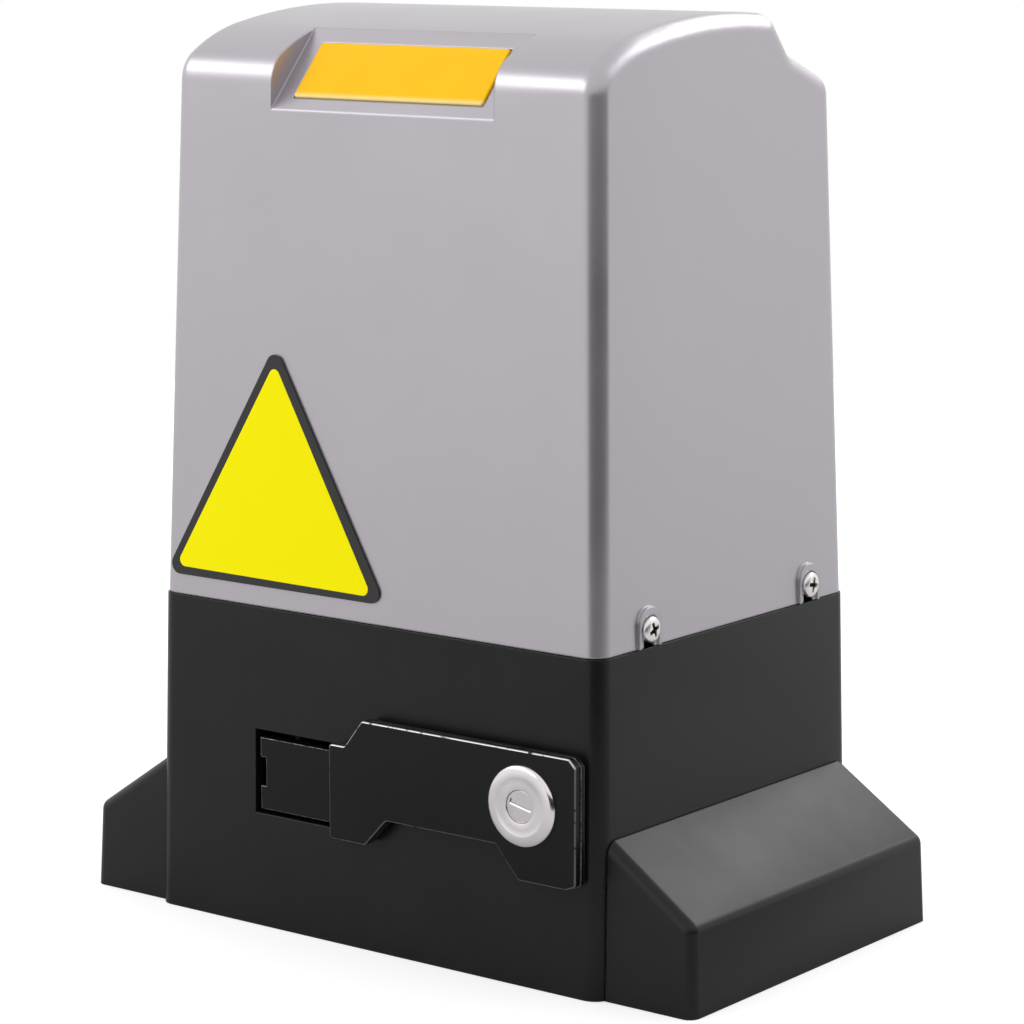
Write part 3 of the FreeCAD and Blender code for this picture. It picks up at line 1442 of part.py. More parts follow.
def make_motor():
    """Stator stack, winding heads, end bells with bolt ears, and the through bolts."""
    radius = motor_dia / 2
    node("stator_core", tube("stator_tube", (0, wheel_y, stator_low), radius, stator_bore / 2,
                             stator_height))
    heads = [tube(f"winding_{name}", (0, wheel_y, low), radius - 7, stator_bore / 2 + 3,
                  winding_height)
             for name, low in (("low", stator_low - winding_height), ("high", stator_high))]
    node("stator_windings", group("winding_group", heads))
    bell_parts = {"lower": (deck_top, deck_top, 1), "upper": (stator_high, motor_top, -1)}
    for name, (low, closed, inward) in bell_parts.items():
        ears = [rod(f"{name}_ear_{number}", (x_part, y_part, low), motor_bolt_dia + 2, bell_height)
                for number, (x_part, y_part) in enumerate(motor_bolt_places())]
        cup = join(f"{name}_bell_joined",
                   [rod(f"{name}_bell_rod", (0, wheel_y, low), radius, bell_height)] + ears)
        floor_low = closed + bell_wall if inward > 0 else low - 1
        cuts = [rod(f"{name}_bell_hollow", (0, wheel_y, floor_low), radius - bell_wall,
                    bell_height - bell_wall + 1)]
        cuts += [rod(f"{name}_bolt_hole_{number}", (x_part, y_part, low - 1),
                     motor_bolt_dia / 2 + 0.2, bell_height + 2)
                 for number, (x_part, y_part) in enumerate(motor_bolt_places())]
        shell = carve(f"{name}_bell_cup", cup, cuts)
        bore_cuts = [rod(f"{name}_bell_bore", (0, wheel_y, low - 1), rotor_shaft_dia / 2 + 2,
                         bell_height + 2)]
        if inward < 0:
            seat_low = closed - rotor_bearing_width
            boss = rod("upper_bearing_boss", (0, wheel_y, seat_low - 2),
                       rotor_bearing_dia / 2 + 4, rotor_bearing_width + 1)
            shell = join("upper_bell_bossed", [shell, boss])
            bore_cuts.append(rod("upper_bearing_seat", (0, wheel_y, seat_low),
                                 rotor_bearing_dia / 2, rotor_bearing_width + 1))
        node(f"{name}_end_bell", carve(f"{name}_bell_finished", shell, bore_cuts))
    bolts = []
    for number, (x_part, y_part) in enumerate(motor_bolt_places()):
        bolts.append(join(f"motor_bolt_{number}", [
            rod(f"motor_bolt_shank_{number}", (x_part, y_part, deck_top - deck_thick),
                motor_bolt_dia / 2, motor_top - deck_top + deck_thick + 1),
            rod(f"motor_bolt_head_{number}", (x_part, y_part, motor_top),
                motor_bolt_dia * 0.85, motor_bolt_dia * 0.8)]))
    node("motor_bolts", group("motor_bolt_group", bolts))


def make_tongue():
    """Release tongue with its hinge hub and the spiral cam that pushes the release pin, and
    the hinge pin. The cam's radius grows evenly with its angle over a quarter turn."""
    tongue_front = front_at(shaft_height) + 0.2
    high = tongue_high - tongue_low
    plate = block("tongue_plate", (tongue_left, tongue_front, tongue_low),
                  (window_right - 1 - tongue_left, tongue_thick, high))
    step = block("tongue_step", (lever_left, lever_back_rear, tongue_low),
                 (window_right - 1 - lever_left, tongue_front + tongue_thick - lever_back_rear,
                  high))
    hub = rod("tongue_hub", (hinge_x, hinge_y, tongue_low), hinge_pin_dia / 2 + 4, high)
    start = float(cam_radius)
    rate = float(clutch_travel) / (math.pi / 2)
    centre = Vector(float(hinge_x), float(hinge_y), float(shaft_height) - float(pin_dia) - 0.5)

    def spot(radius, angle):
        return centre + Vector(radius * math.cos(angle), radius * math.sin(angle), 0)

    quarter = math.pi / 2
    spiral = Part.BSplineCurve()
    spiral.interpolate([spot(start + rate * (share * 1.1 * quarter - 0.1 * quarter),
                             quarter * (0.9 + share * 1.1)) for share in (0, 0.2, 0.4, 0.6, 0.8, 1)])
    last = start + float(clutch_travel)
    dwell = math.radians(12)
    first_point = spiral.StartPoint
    edges = [
        spiral.toShape(),
        Part.Arc(spot(last, math.pi), spot(last, math.pi + dwell / 2),
                 spot(last, math.pi + dwell)).toShape(),
        Part.LineSegment(spot(last, math.pi + dwell), centre).toShape(),
        Part.LineSegment(centre, first_point).toShape(),
    ]
    cam = Part.Face(Part.Wire(edges)).extrude(Vector(0, 0, 2 * float(pin_dia) + 1))
    body = join("tongue_joined", [plate, step, hub, feature("release_cam", cam)])
    cuts = [
        rod("tongue_pin_bore", (hinge_x, hinge_y, tongue_low - 1),
            hinge_pin_dia / 2 + running_gap, high + 2),
        block("tongue_notch_cut", (tongue_left - 1, tongue_front - 1,
                                   shaft_height - tongue_notch / 2),
              (tongue_notch_depth + 1, tongue_thick + 2, tongue_notch)),
    ]
    node("release_tongue", carve("tongue_finished", body, cuts))
    node("hinge_pin", rod("hinge_pin_rod", (hinge_x, hinge_y, window_low - 6.9),
                          hinge_pin_dia / 2, window_high - window_low + 13.8))


lever_face = front_at(lock_height) - lever_front
lever_joint = lever_face + lever_plate
lever_back_rear = lever_joint + lever_back


def lever_steps(grow_right):
    """Outline of the lever seen from the front, with its wide end moved to the right."""
    right = lever_right + grow_right
    shoulder = lever_shoulder + lever_slope
    return [
        (lever_left, lever_low + 1),
        (arch_left, lever_low + 1),
        (arch_left + arch_slope, lever_arch),
        (arch_right - arch_slope, lever_arch),
        (arch_right, lever_low),
        (right - lever_chamfer * 1.4, lever_low),
        (right, lever_low + lever_chamfer * 0.6),
        (right, lever_top - lever_chamfer),
        (right - lever_chamfer, lever_top),
        (shoulder, lever_top),
        (lever_shoulder, lever_neck_top),
        (lever_left, lever_neck_top),
    ]


def lever_upright(edge):
    """Edges through the thickness of a plate that stands across the front."""
    box = edge.BoundBox
    return box.YLength > 8 * max(box.XLength, box.ZLength)


def make_lever():
    """Release lever: a front plate with a rounded rim on a back plate."""
    front = new_body("lever_front_body")
    drawing = outline(sketch_on(front, "lever_face_sketch", "XZ", lever_joint), lever_steps(0))
    pad = grow(front, drawing, lever_plate, towards=-1)
    pad = round_edges(front, pad, lever_corner, lever_upright)
    face_y = float(lever_face)

    def rim(edge):
        box = edge.BoundBox
        return abs(box.YMin - face_y) < 1e-4 and abs(box.YMax - face_y) < 1e-4

    round_edges(front, pad, lever_round, rim)
    hole = rod("lever_front_hole", (lock_x, lever_face - 1, lock_height), lock_barrel_dia / 2,
               lever_plate + 2, "Y")
    node("release_lever", carve("lever_front_finished", front, [hole]))
    back = new_body("lever_back_body")
    drawing = outline(sketch_on(back, "lever_back_sketch", "XZ", lever_joint),
                      lever_steps(lever_lap))
    pad = grow(back, drawing, lever_back, towards=1)
    round_edges(back, pad, lever_corner, lever_upright)
    hole = rod("lever_back_hole", (lock_x, lever_joint - 1, lock_height), lock_barrel_dia / 2,
               lever_back + 2, "Y")
    node("lever_back_plate", carve("lever_back_finished", back, [hole]))


def make_lock():
    """Cam lock in the lever: dished ring and barrel, slotted plug, and the cam behind."""
    def on_lock(place):
        return (lock_x, place, lock_height)

    ring_face = lever_face - lock_rise
    wall_rear = front_y + casing_wall
    barrel_rear = wall_rear - 0.4
    cam_front = wall_rear + 0.4
    flange = cone("lock_flange", on_lock(ring_face), lock_ring_dia / 2 - 1.5, lock_ring_dia / 2,
                  lock_rise, "Y")
    barrel = rod("lock_barrel", on_lock(lever_face), lock_barrel_dia / 2,
                 barrel_rear - lever_face, "Y")
    dish = cone("lock_dish_cut", on_lock(ring_face - 0.01), lock_dish_dia / 2 + 1,
                lock_dish_dia / 2, lock_dish + 0.01, "Y")
    bore = rod("lock_bore", on_lock(ring_face - 1), lock_plug_dia / 2 + running_gap,
               barrel_rear - ring_face + 2, "Y")
    node("lock_ring", carve("lock_ring_finished", join("lock_ring_joined", [flange, barrel]),
                            [dish, bore]))
    plug_face = ring_face + lock_dish * 0.5
    cam_rear = cam_front + cam_blade_thick
    plug = rod("plug_rod", on_lock(plug_face), lock_plug_dia / 2, cam_front - plug_face, "Y")
    stud = rod("plug_stud", on_lock(cam_front - 1), cam_blade_width / 4,
               cam_blade_thick + 3, "Y")
    slot = block("plug_slot", (lock_x - lock_plug_dia * 0.4, plug_face - 1, lock_height - 0.9),
                 (lock_plug_dia * 0.8, 8, 1.8))
    node("lock_plug", carve("plug_finished", join("plug_joined", [plug, stud]), [slot]))
    blade = join("cam_joined", [
        rod("cam_round", on_lock(cam_front), cam_blade_width / 2, cam_blade_thick, "Y"),
        block("cam_bar", (lock_x - cam_blade, cam_front, lock_height - cam_blade_width / 2),
              (cam_blade, cam_blade_thick, cam_blade_width))])
    eye = rod("cam_eye", on_lock(cam_front - 1), cam_blade_width / 4, cam_rear - cam_front + 2, "Y")
    node("lock_cam", carve("cam_finished", blade, [eye]))


def make_board_shelf():
    """Bent sheet shelf over the motor, and the spacers that carry the board."""
    half = shelf_width / 2
    parts = [block("shelf_plate", (-half, -shelf_depth / 2, shelf_height - sheet_thick),
                   (shelf_width, shelf_depth, sheet_thick))]
    sides = {"left": (-half, -half - leg_foot),
             "right": (half - sheet_thick, half - sheet_thick)}
    for name, (leg_start, foot_start) in sides.items():
        parts.append(block(f"{name}_leg", (leg_start, leg_front, deck_top),
                           (sheet_thick, leg_depth, shelf_height - deck_top)))
        parts.append(block(f"{name}_foot", (foot_start, leg_front, deck_top),
                           (sheet_thick + leg_foot, leg_depth, sheet_thick)))
    node("board_shelf", join("shelf_joined", parts))
    reach_x = board_width / 2 - spacer_dia
    reach_y = board_depth / 2 - spacer_dia
    node("board_spacers", group("spacer_group", [
        rod(f"spacer_{x_sign}_{y_sign}", (x_sign * reach_x, y_sign * reach_y, shelf_height),
            spacer_dia / 2, spacer_height) for x_sign in (-1, 1) for y_sign in (-1, 1)]))


def terminal_block(name, start, count, low):
    """Row of terminals with a square mouth each."""
    front = -board_depth / 2 + terminal_inset
    margin = (terminal_pitch - terminal_mouth) / 2
    strip = block(f"terminal_{name}", (start, front, low),
                  (terminal_pitch * count, terminal_depth, terminal_height))
    mouths = [block(f"terminal_{name}_{number}",
                    (start + margin + terminal_pitch * number, front - 1, low + 2),
                    (terminal_mouth, terminal_depth / 2 + 1, terminal_mouth + 1))
              for number in range(int(float(count)))]
    return carve(f"terminal_{name}_cut", strip, mouths)


def make_control_board():
    """Control board with relays, terminal blocks, capacitors and the learn button."""
    board_low = shelf_height + spacer_height
    board_top = board_low + board_thick
    node("control_board", block("board_plate", (-board_width / 2, -board_depth / 2, board_low),
                                (board_width, board_depth, board_thick)))
    node("relays", group("relay_group", [
        block(f"relay_{number}",
              (relay_left + (relay_width + relay_gap) * number, relay_front, board_top),
              (relay_width, relay_depth, relay_height))
        for number in range(int(float(relay_count)))]))
    node("terminal_blocks", group("terminal_group", [
        terminal_block("power", power_left, power_terminals, board_top),
        terminal_block("signal", signal_left, signal_terminals, board_top)]))
    node("board_capacitors", group("board_capacitor_group", [
        rod(f"board_capacitor_{number}",
            (smoother_left + smoother_pitch * number, smoother_rear, board_top),
            smoother_dia / 2, smoother_height) for number in range(int(float(smoother_count)))]))
    well = rod("button_well", (button_x, button_y, board_top + 1), button_dia / 2 + 0.1,
               button_base_height)
    base = block("button_base", (button_x - button_base_side / 2,
                                 button_y - button_base_side / 2, board_top),
                 (button_base_side, button_base_side, button_base_height))
    node("learn_button_base", carve("button_base_cut", base, [well]))
    node("learn_button", rod("button_cap", (button_x, button_y, board_top + button_lift),
                             button_dia / 2, button_height))


def make_run_capacitor():
    """Run capacitor on the deck with its two tabs, and its clamp with an ear and a foot."""
    radius = capacitor_dia / 2
    case = rod("capacitor_can", (capacitor_x, capacitor_y, deck_top), radius, capacitor_height)
    tabs = [block(f"capacitor_tab_{side}",
                  (capacitor_x + side * radius / 4, capacitor_y - radius / 6,
                   deck_top + capacitor_height - 0.5), (0.8, radius / 3, radius / 2))
            for side in (-1, 1)]
    node("run_capacitor", join("capacitor_joined", [case] + tabs))
    band_low = deck_top + capacitor_height * clamp_share
    band = tube("clamp_ring", (capacitor_x, capacitor_y, band_low), radius + clamp_band, radius,
                clamp_width)
    ear = block("clamp_ear", (capacitor_x - 2, capacitor_y + radius, deck_top),
                (4, sheet_thick, band_low + clamp_width - deck_top))
    foot = block("clamp_foot_sheet", (capacitor_x - 6, capacitor_y + radius, deck_top),
                 (12, clamp_foot, sheet_thick))
    node("capacitor_clamp", join("clamp_joined", [band, ear, foot]))


def make_transformer():
    """Transformer: a stacked core with two windows and the winding round its middle limb."""
    core = block("core_block", (core_x - core_width / 2, core_y - core_depth / 2, deck_top),
                 (core_width, core_depth, core_height))
    opening = core_height - core_yoke * 2
    windows = [block(f"core_window_{name}", (core_x - core_width / 2 - 1, core_y + start,
                                             deck_top + core_yoke),
                     (core_width + 2, core_window, opening))
               for name, start in (("front", -core_limb / 2 - core_window),
                                   ("rear", core_limb / 2))]
    node("transformer_core", carve("core_finished", core, windows))
    length = core_limb + (core_window - winding_gap) * 2
    winding = block("winding_block", (core_x - core_width / 2 - winding_lap, core_y - length / 2,
                                      deck_top + core_yoke + winding_gap),
                    (core_width + winding_lap * 2, length, opening - winding_gap * 2))
    limb = block("winding_hole", (core_x - core_width / 2, core_y - core_limb / 2, deck_top),
                 (core_width, core_limb, core_height))
    node("transformer_winding", carve("winding_finished", winding, [limb]))


def make_limit_switch():
    """Spring limit switch on the rear wall: a box with a round seat and the arm above it."""
    box_low = limit_height - limit_box_height
    wall = half_depth + casing_grow(box_low)
    middle = wall + limit_box_depth / 2
    seat_radius = limit_arm_dia / 2 + 1
    case = block("limit_case", (limit_x - limit_box / 2, wall, box_low),
                 (limit_box, limit_box_depth, limit_box_height))
    node("limit_switch", carve("limit_finished", case, [
        ball("limit_seat", (limit_x, middle, limit_height), seat_radius + side_gap)]))
    turns = float(limit_turns)
    wire = float(limit_wire)
    coil_low = float(limit_height) + float(seat_radius)
    spring = coil((float(limit_arm_dia) - wire) / 2, wire, turns, wire * 1.25)
    spring.translate(Vector(float(limit_x), float(middle), coil_low))
    tip = limit_height + limit_arm_reach
    node("limit_arm", join("limit_arm_joined", [
        ball("limit_pivot", (limit_x, middle, limit_height), seat_radius),
        feature("limit_coil", spring),
        rod("limit_stem", (limit_x, middle, limit_height), limit_arm_dia / 3, limit_arm_reach),
        ball("limit_tip", (limit_x, middle, tip), limit_arm_dia / 2)]))


PIECES = [
    make_housing, make_flanges, make_sump_plate, make_cover, make_cover_screws,
    make_badge_plate,
    make_sign_plate, make_foot_covers, make_bearings, make_output_shaft, make_pinion,
    make_worm_wheel, make_clutch, make_rotor, make_motor, make_tongue, make_lever, make_lock,
    make_board_shelf, make_control_board, make_run_capacitor, make_transformer,
    make_limit_switch,
]
for make in PIECES:
    make()
doc.recompute()
for item in doc.Objects:
    if "Invalid" in item.State or "Error" in item.State:
        raise RuntimeError(f"{item.Name} failed: {item.State}")
for item in nodes:
    if item.Shape.isNull() or not item.Shape.isValid():
        raise RuntimeError(f"{item.Label} has no valid shape")
os.makedirs("parts", exist_ok=True)
for item in nodes:
    item.Shape.exportStep(f"parts/{item.Label}.step")
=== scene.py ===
"""Sliding gate motor: finishes, fine pieces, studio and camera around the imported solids.

Everything is in metres in the solids' frame: origin on the ground under the casing, +X right
seen from the front, +Y to the rear, +Z up.
"""
import json
import math

import bpy
import numpy as np
from mathutils import Matrix, Vector


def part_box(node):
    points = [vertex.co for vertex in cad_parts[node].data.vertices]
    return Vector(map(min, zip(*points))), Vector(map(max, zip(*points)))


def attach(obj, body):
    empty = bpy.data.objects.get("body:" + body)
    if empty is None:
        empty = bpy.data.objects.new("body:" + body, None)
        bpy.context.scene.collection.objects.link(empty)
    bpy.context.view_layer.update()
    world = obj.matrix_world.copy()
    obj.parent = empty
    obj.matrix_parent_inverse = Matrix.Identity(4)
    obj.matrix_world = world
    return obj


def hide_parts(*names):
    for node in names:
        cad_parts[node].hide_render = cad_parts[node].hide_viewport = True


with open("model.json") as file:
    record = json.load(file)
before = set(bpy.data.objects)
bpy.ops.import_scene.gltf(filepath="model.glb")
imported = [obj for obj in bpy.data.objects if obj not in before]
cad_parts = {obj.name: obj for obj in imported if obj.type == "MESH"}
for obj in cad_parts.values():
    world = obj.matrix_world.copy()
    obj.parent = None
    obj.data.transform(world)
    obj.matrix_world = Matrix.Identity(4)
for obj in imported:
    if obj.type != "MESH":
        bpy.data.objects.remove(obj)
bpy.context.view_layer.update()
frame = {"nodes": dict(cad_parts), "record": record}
nodes = frame["nodes"]

# Camera: where the photograph was taken from
CAMERA_PLACE = (0.82205, -1.0593, 0.3909)
CAMERA_YAW = math.radians(37.68)
CAMERA_PITCH = math.radians(9.99)
CAMERA_ROLL = math.radians(-0.048)
CAMERA_LENS = 124.43

# The sign's film: slope of the cover's front, corners at (x, z), corner radius, thickness and
# lift off the plate
COVER_DRAFT = math.radians(1.64)
SIGN_CORNERS = ((-0.0468, 0.2172), (-0.0962, 0.1352), (0.0016, 0.1344))
SIGN_ROUND = 0.0026
FILM_THICK = 0.00008
FILM_LIFT = 0.00001

# Studio: the floor, the dark screen, the surroundings, and each lamp's target, the way to it,
# its distance, width, height and brightness
FLOOR_REACH = 1.5
FLOOR_NEAR = 0.54
FLOOR_LEVEL = -0.0002
FLOOR_GREY = 0.66
FLOOR_GLOW = 0.50
SCREEN_PLACE = 1.55
SCREEN_TURN = math.radians(27)
SCREEN_WIDTH = 4.4
SCREEN_DARK = 0.02
SCREEN_LOW = -1.0
SCREEN_HIGH = 0.55
AMBIENT_LEVEL = 0.92
LAMPS = {
    "brow_lamp": ((0, -0.06, 0.32), (-0.602, -0.635, 0.484), 1.7, 2.0, 0.62, 2.8),
    "rear_lamp": ((0.1, 0.0, 0.30), (0.22, 0.78, 0.56), 1.8, 1.8, 0.80, 3.0),
}

# The lock, in millimetres: ring above the lever, its rounded rim and its barrel, the plug and
# how far its face lies back, the key slot's tilt, half length and three depths
LOCK_RISE = 2.0
RIM_WIDTH = 4.1
BARREL_RADIUS = 9.0
PLUG_RADIUS = 6.0
PLUG_BACK = 0.62
KEY_TILT = -12
KEY_HALF = 4.75
GROOVE_DEPTH = 0.8
LIP_DEPTH = 0.25
NOTCH_DEPTH = 0.9

# Smooth shading of the solids and of the fine pieces
WELD_REACH = 0.00001
CREASE_ANGLE = math.radians(32)
PIECE_CREASE = math.radians(40)

# The cover screws' heads, in metres: rise, reach and half width of the cross, its soft flank,
# its depth in the middle and how much of that is lost towards its ends
HEAD_RISE = 0.0026
CROSS_REACH = 0.0029
CROSS_HALF = 0.00055
CROSS_FLANK = 0.00016
CROSS_DEPTH = 0.0019
CROSS_LOSS = 0.0007


def make_camera():
    """Perspective camera from a place, a yaw, a pitch and a small roll."""
    ahead = Vector((-math.sin(CAMERA_YAW) * math.cos(CAMERA_PITCH),
                    math.cos(CAMERA_YAW) * math.cos(CAMERA_PITCH), -math.sin(CAMERA_PITCH)))
    level = Vector((math.cos(CAMERA_YAW), math.sin(CAMERA_YAW), 0))
    upward = level.cross(ahead)
    right = level * math.cos(CAMERA_ROLL) + upward * math.sin(CAMERA_ROLL)
    top = upward * math.cos(CAMERA_ROLL) - level * math.sin(CAMERA_ROLL)
    data = bpy.data.cameras.new("camera")
    data.lens = CAMERA_LENS
    data.sensor_width = 36
    data.clip_start = 0.05
    data.clip_end = 50
    camera = bpy.data.objects.new("camera", data)
    turn = Matrix((right, top, -ahead)).transposed().to_4x4()
    camera.matrix_world = Matrix.Translation(CAMERA_PLACE) @ turn
    bpy.context.scene.collection.objects.link(camera)
    bpy.context.scene.camera = camera


# Shader building

class Shader:
    """A node tree with short calls for adding nodes and joining their sockets."""

    def __init__(self, tree):
        self.tree = tree

    def add(self, kind, inputs=None, **settings):
        item = self.tree.nodes.new(kind)
        for name, value in settings.items():
            setattr(item, name, value)
        for name, value in (inputs or {}).items():
            self.feed(item.inputs[name], value)
        return item

    def feed(self, socket, value):
        if isinstance(value, bpy.types.NodeSocket):
            self.tree.links.new(value, socket)
        else:
            socket.default_value = value

    def blend(self, share, first, second):
        """Colour mixed from two by a share."""
        item = self.add("ShaderNodeMix", data_type="RGBA")
        self.feed(item.inputs[0], share)
        self.feed(item.inputs[6], first)
        self.feed(item.inputs[7], second)
        return item.outputs[2]

    def span(self, value, low, high, to_low=0.0, to_high=1.0):
        """Value moved from one range to another and clamped."""
        item = self.add("ShaderNodeMapRange")
        for index, number in enumerate((value, low, high, to_low, to_high)):
            self.feed(item.inputs[index], number)
        return item.outputs[0]

    def sums(self, operation, first, second=0.0):
        item = self.add("ShaderNodeMath", operation=operation)
        self.feed(item.inputs[0], first)
        self.feed(item.inputs[1], second)
        return item.outputs[0]


def rgba(red, green, blue):
    return (red, green, blue, 1.0)


def new_group(name, inputs, outputs):
    """Shader node group with float inputs and typed outputs; gives its tree and its ends."""
    tree = bpy.data.node_groups.new(name, "ShaderNodeTree")
    for title, value in inputs.items():
        socket = tree.interface.new_socket(title, in_out="INPUT", socket_type="NodeSocketFloat")
        socket.default_value = value
    for title, kind in outputs.items():
        tree.interface.new_socket(title, in_out="OUTPUT", socket_type=kind)
    shader = Shader(tree)
    return shader, shader.add("NodeGroupInput"), shader.add("NodeGroupOutput")


def make_grain_group():
    """Moulded or painted skin: fine grain height, broad mottle and small scratches.

    Grain is noise at Size millimetres; Mottle is noise twenty times as broad; Scratches
    are the thin ridges of a stretched noise."""
    shader, start, stop = new_group(
        "skin_grain", {"Size": 0.6},
        {"Grain": "NodeSocketFloat", "Mottle": "NodeSocketFloat", "Scratches": "NodeSocketFloat"})
    place = shader.add("ShaderNodeTexCoord").outputs["Object"]
    scale = shader.sums("DIVIDE", 1000.0, start.outputs["Size"])
    grain = shader.add("ShaderNodeTexNoise", {"Vector": place, "Scale": scale, "Detail": 3.0})
    broad = shader.add("ShaderNodeTexNoise",
                       {"Vector": place, "Scale": shader.sums("DIVIDE", scale, 40.0),
                        "Detail": 4.0, "Roughness": 0.6})
    turned = shader.add("ShaderNodeMapping",
                        {"Vector": place, "Rotation": (0.4, 0.9, 0.3), "Scale": (1, 9, 1)})
    lines = shader.add("ShaderNodeTexNoise",
                       {"Vector": turned.outputs[0], "Scale": 60.0, "Detail": 2.0,
                        "Distortion": 1.5})
    ridge = shader.sums("ABSOLUTE", shader.sums("SUBTRACT", lines.outputs["Fac"], 0.5))
    shader.feed(stop.inputs["Grain"], grain.outputs["Fac"])
    shader.feed(stop.inputs["Mottle"], broad.outputs["Fac"])
    shader.feed(stop.inputs["Scratches"], shader.span(ridge, 0.0, 0.006, 1.0, 0.0))
    return shader.tree


def make_wear_group():
    """Mask of worn edges: where a bevelled normal leaves the true one, broken up by noise."""
    shader, start, stop = new_group("edge_wear", {"Reach": 0.0006, "Amount": 0.5},
                                    {"Mask": "NodeSocketFloat"})
    bevel = shader.add("ShaderNodeBevel", {"Radius": start.outputs["Reach"]}, samples=4)
    plain = shader.add("ShaderNodeNewGeometry")
    match = shader.add("ShaderNodeVectorMath", operation="DOT_PRODUCT")
    shader.feed(match.inputs[0], bevel.outputs[0])
    shader.feed(match.inputs[1], plain.outputs["Normal"])
    place = shader.add("ShaderNodeTexCoord").outputs["Object"]
    breaks = shader.add("ShaderNodeTexNoise", {"Vector": place, "Scale": 220.0, "Detail": 5.0,
                                               "Roughness": 0.7})
    edge = shader.span(match.outputs["Value"], 0.99, 0.86)
    broken = shader.span(breaks.outputs["Fac"], 0.38, 0.6)
    shader.feed(stop.inputs["Mask"],
                shader.sums("MULTIPLY", shader.sums("MULTIPLY", edge, broken),
                            start.outputs["Amount"]))
    return shader.tree


GRAIN = make_grain_group()
WEAR = make_wear_group()


def new_material(name):
    """Material with a Principled surface; gives the material, its builder and the surface."""
    material = bpy.data.materials.new(name)
    material.use_nodes = True
    material.node_tree.nodes.clear()
    shader = Shader(material.node_tree)
    surface = shader.add("ShaderNodeBsdfPrincipled")
    output = shader.add("ShaderNodeOutputMaterial")
    shader.feed(output.inputs["Surface"], surface.outputs[0])
    return material, shader, surface


def rim_wear_and_highlight(shader):
    """Share of a plate's rounded front rim, bare metal that is partly wear and partly a painted
    highlight: where the surface faces neither the front nor its edges, most along the top
    where the lamps' light falls, broken up a little along the way."""
    facing = shader.add("ShaderNodeTexCoord")
    parts = shader.add("ShaderNodeSeparateXYZ", {"Vector": facing.outputs["Normal"]})
    breaks = shader.add("ShaderNodeTexNoise", {"Vector": facing.outputs["Object"],
                                               "Scale": 320.0, "Detail": 4.0})
    round_part = shader.sums("MULTIPLY", shader.span(parts.outputs["Y"], -0.97, -0.90),
                             shader.span(parts.outputs["Y"], -0.35, -0.20, 1.0, 0.0))
    # Painted highlight: the rim's share rises where it faces up, towards the lamps.
    top_highlight_weight = shader.span(parts.outputs["Z"], 0.0, 0.3, 0.22, 1.0)
    return shader.sums("MULTIPLY", shader.sums("MULTIPLY", round_part, top_highlight_weight),
                       shader.span(breaks.outputs["Fac"], 0.34, 0.42))


def low_edge_highlight_share(shader, low, high):
    """Share of a highlight painted along a plate's lower edge: from 1 at the height low to 0 at
    the height high.
    """
    place = shader.add("ShaderNodeTexCoord").outputs["Object"]
    parts = shader.add("ShaderNodeSeparateXYZ", {"Vector": place})
    return shader.span(parts.outputs["Z"], low, high, 1.0, 0.0)


def skin(name, colour, rough, grain_size=0.6, bump=0.1, vary=0.12, wear=None, metal=0.0,
         coat=0.0, specular=0.5, scratches=0.0, soft_edge=0.0, rim=None, low_highlight=None):
    """Painted or moulded skin: base colour with slow mottle, grain in the gloss and the bump,
    and, where asked, worn edges (reach, amount, colour and bare metal's share), hair scratches
    and a soft edge that catches the light; the rim colour is bare metal on a rounded rim,
    partly wear and partly a painted highlight along its top, and the lower-edge colour is a
    highlight painted along a lower edge, with its two heights."""
    material, shader, surface = new_material(name)
    grain = shader.add("ShaderNodeGroup", node_tree=GRAIN)
    grain.inputs["Size"].default_value = grain_size
    dark = rgba(*(part * (1 - vary) for part in colour))
    light = rgba(*(min(1.0, part * (1 + vary)) for part in colour))
    tint = shader.blend(shader.span(grain.outputs["Mottle"], 0.3, 0.7), dark, light)
    gloss = shader.span(grain.outputs["Mottle"], 0.25, 0.75, rough * 0.88, rough * 1.12)
    if scratches:
        marks = shader.sums("MULTIPLY", grain.outputs["Scratches"], scratches)
        tint = shader.blend(marks, tint, rgba(*(min(1.0, part * 1.6 + 0.02) for part in colour)))
    if wear:
        worn = shader.add("ShaderNodeGroup", node_tree=WEAR)
        worn.inputs["Reach"].default_value = wear[0]
        worn.inputs["Amount"].default_value = wear[1]
        tint = shader.blend(worn.outputs["Mask"], tint, rgba(*wear[2]))
        if len(wear) > 3:
            metal = shader.span(worn.outputs["Mask"], 0.0, 1.0, metal, wear[3])
    # Bare metal on the rounded rim: partly wear, partly a painted highlight strongest along the
    # top.
    if rim:
        bare_and_highlight = rim_wear_and_highlight(shader)
        tint = shader.blend(bare_and_highlight, tint, rgba(*rim))
        metal = shader.sums("MAXIMUM", metal, bare_and_highlight)
    # Painted highlight: a pale colour along a lower edge, where a domed edge would catch the
    # lamp.
    if low_highlight:
        tint = shader.blend(low_edge_highlight_share(shader, *low_highlight[1:]), tint, rgba(*low_highlight[0]))
    shader.feed(surface.inputs["Base Color"], tint)
    shader.feed(surface.inputs["Roughness"], gloss)
    shader.feed(surface.inputs["Metallic"], metal)
    surface.inputs["Coat Weight"].default_value = coat
    surface.inputs["Coat Roughness"].default_value = 0.12
    surface.inputs["Specular IOR Level"].default_value = specular
    relief = shader.add("ShaderNodeBump", {"Height": grain.outputs["Grain"], "Strength": bump,
                                           "Distance": 0.0002})
    if soft_edge:
        eased = shader.add("ShaderNodeBevel", {"Radius": soft_edge}, samples=6)
        shader.feed(relief.inputs["Normal"], eased.outputs[0])
    shader.feed(surface.inputs["Normal"], relief.outputs[0])
    return material


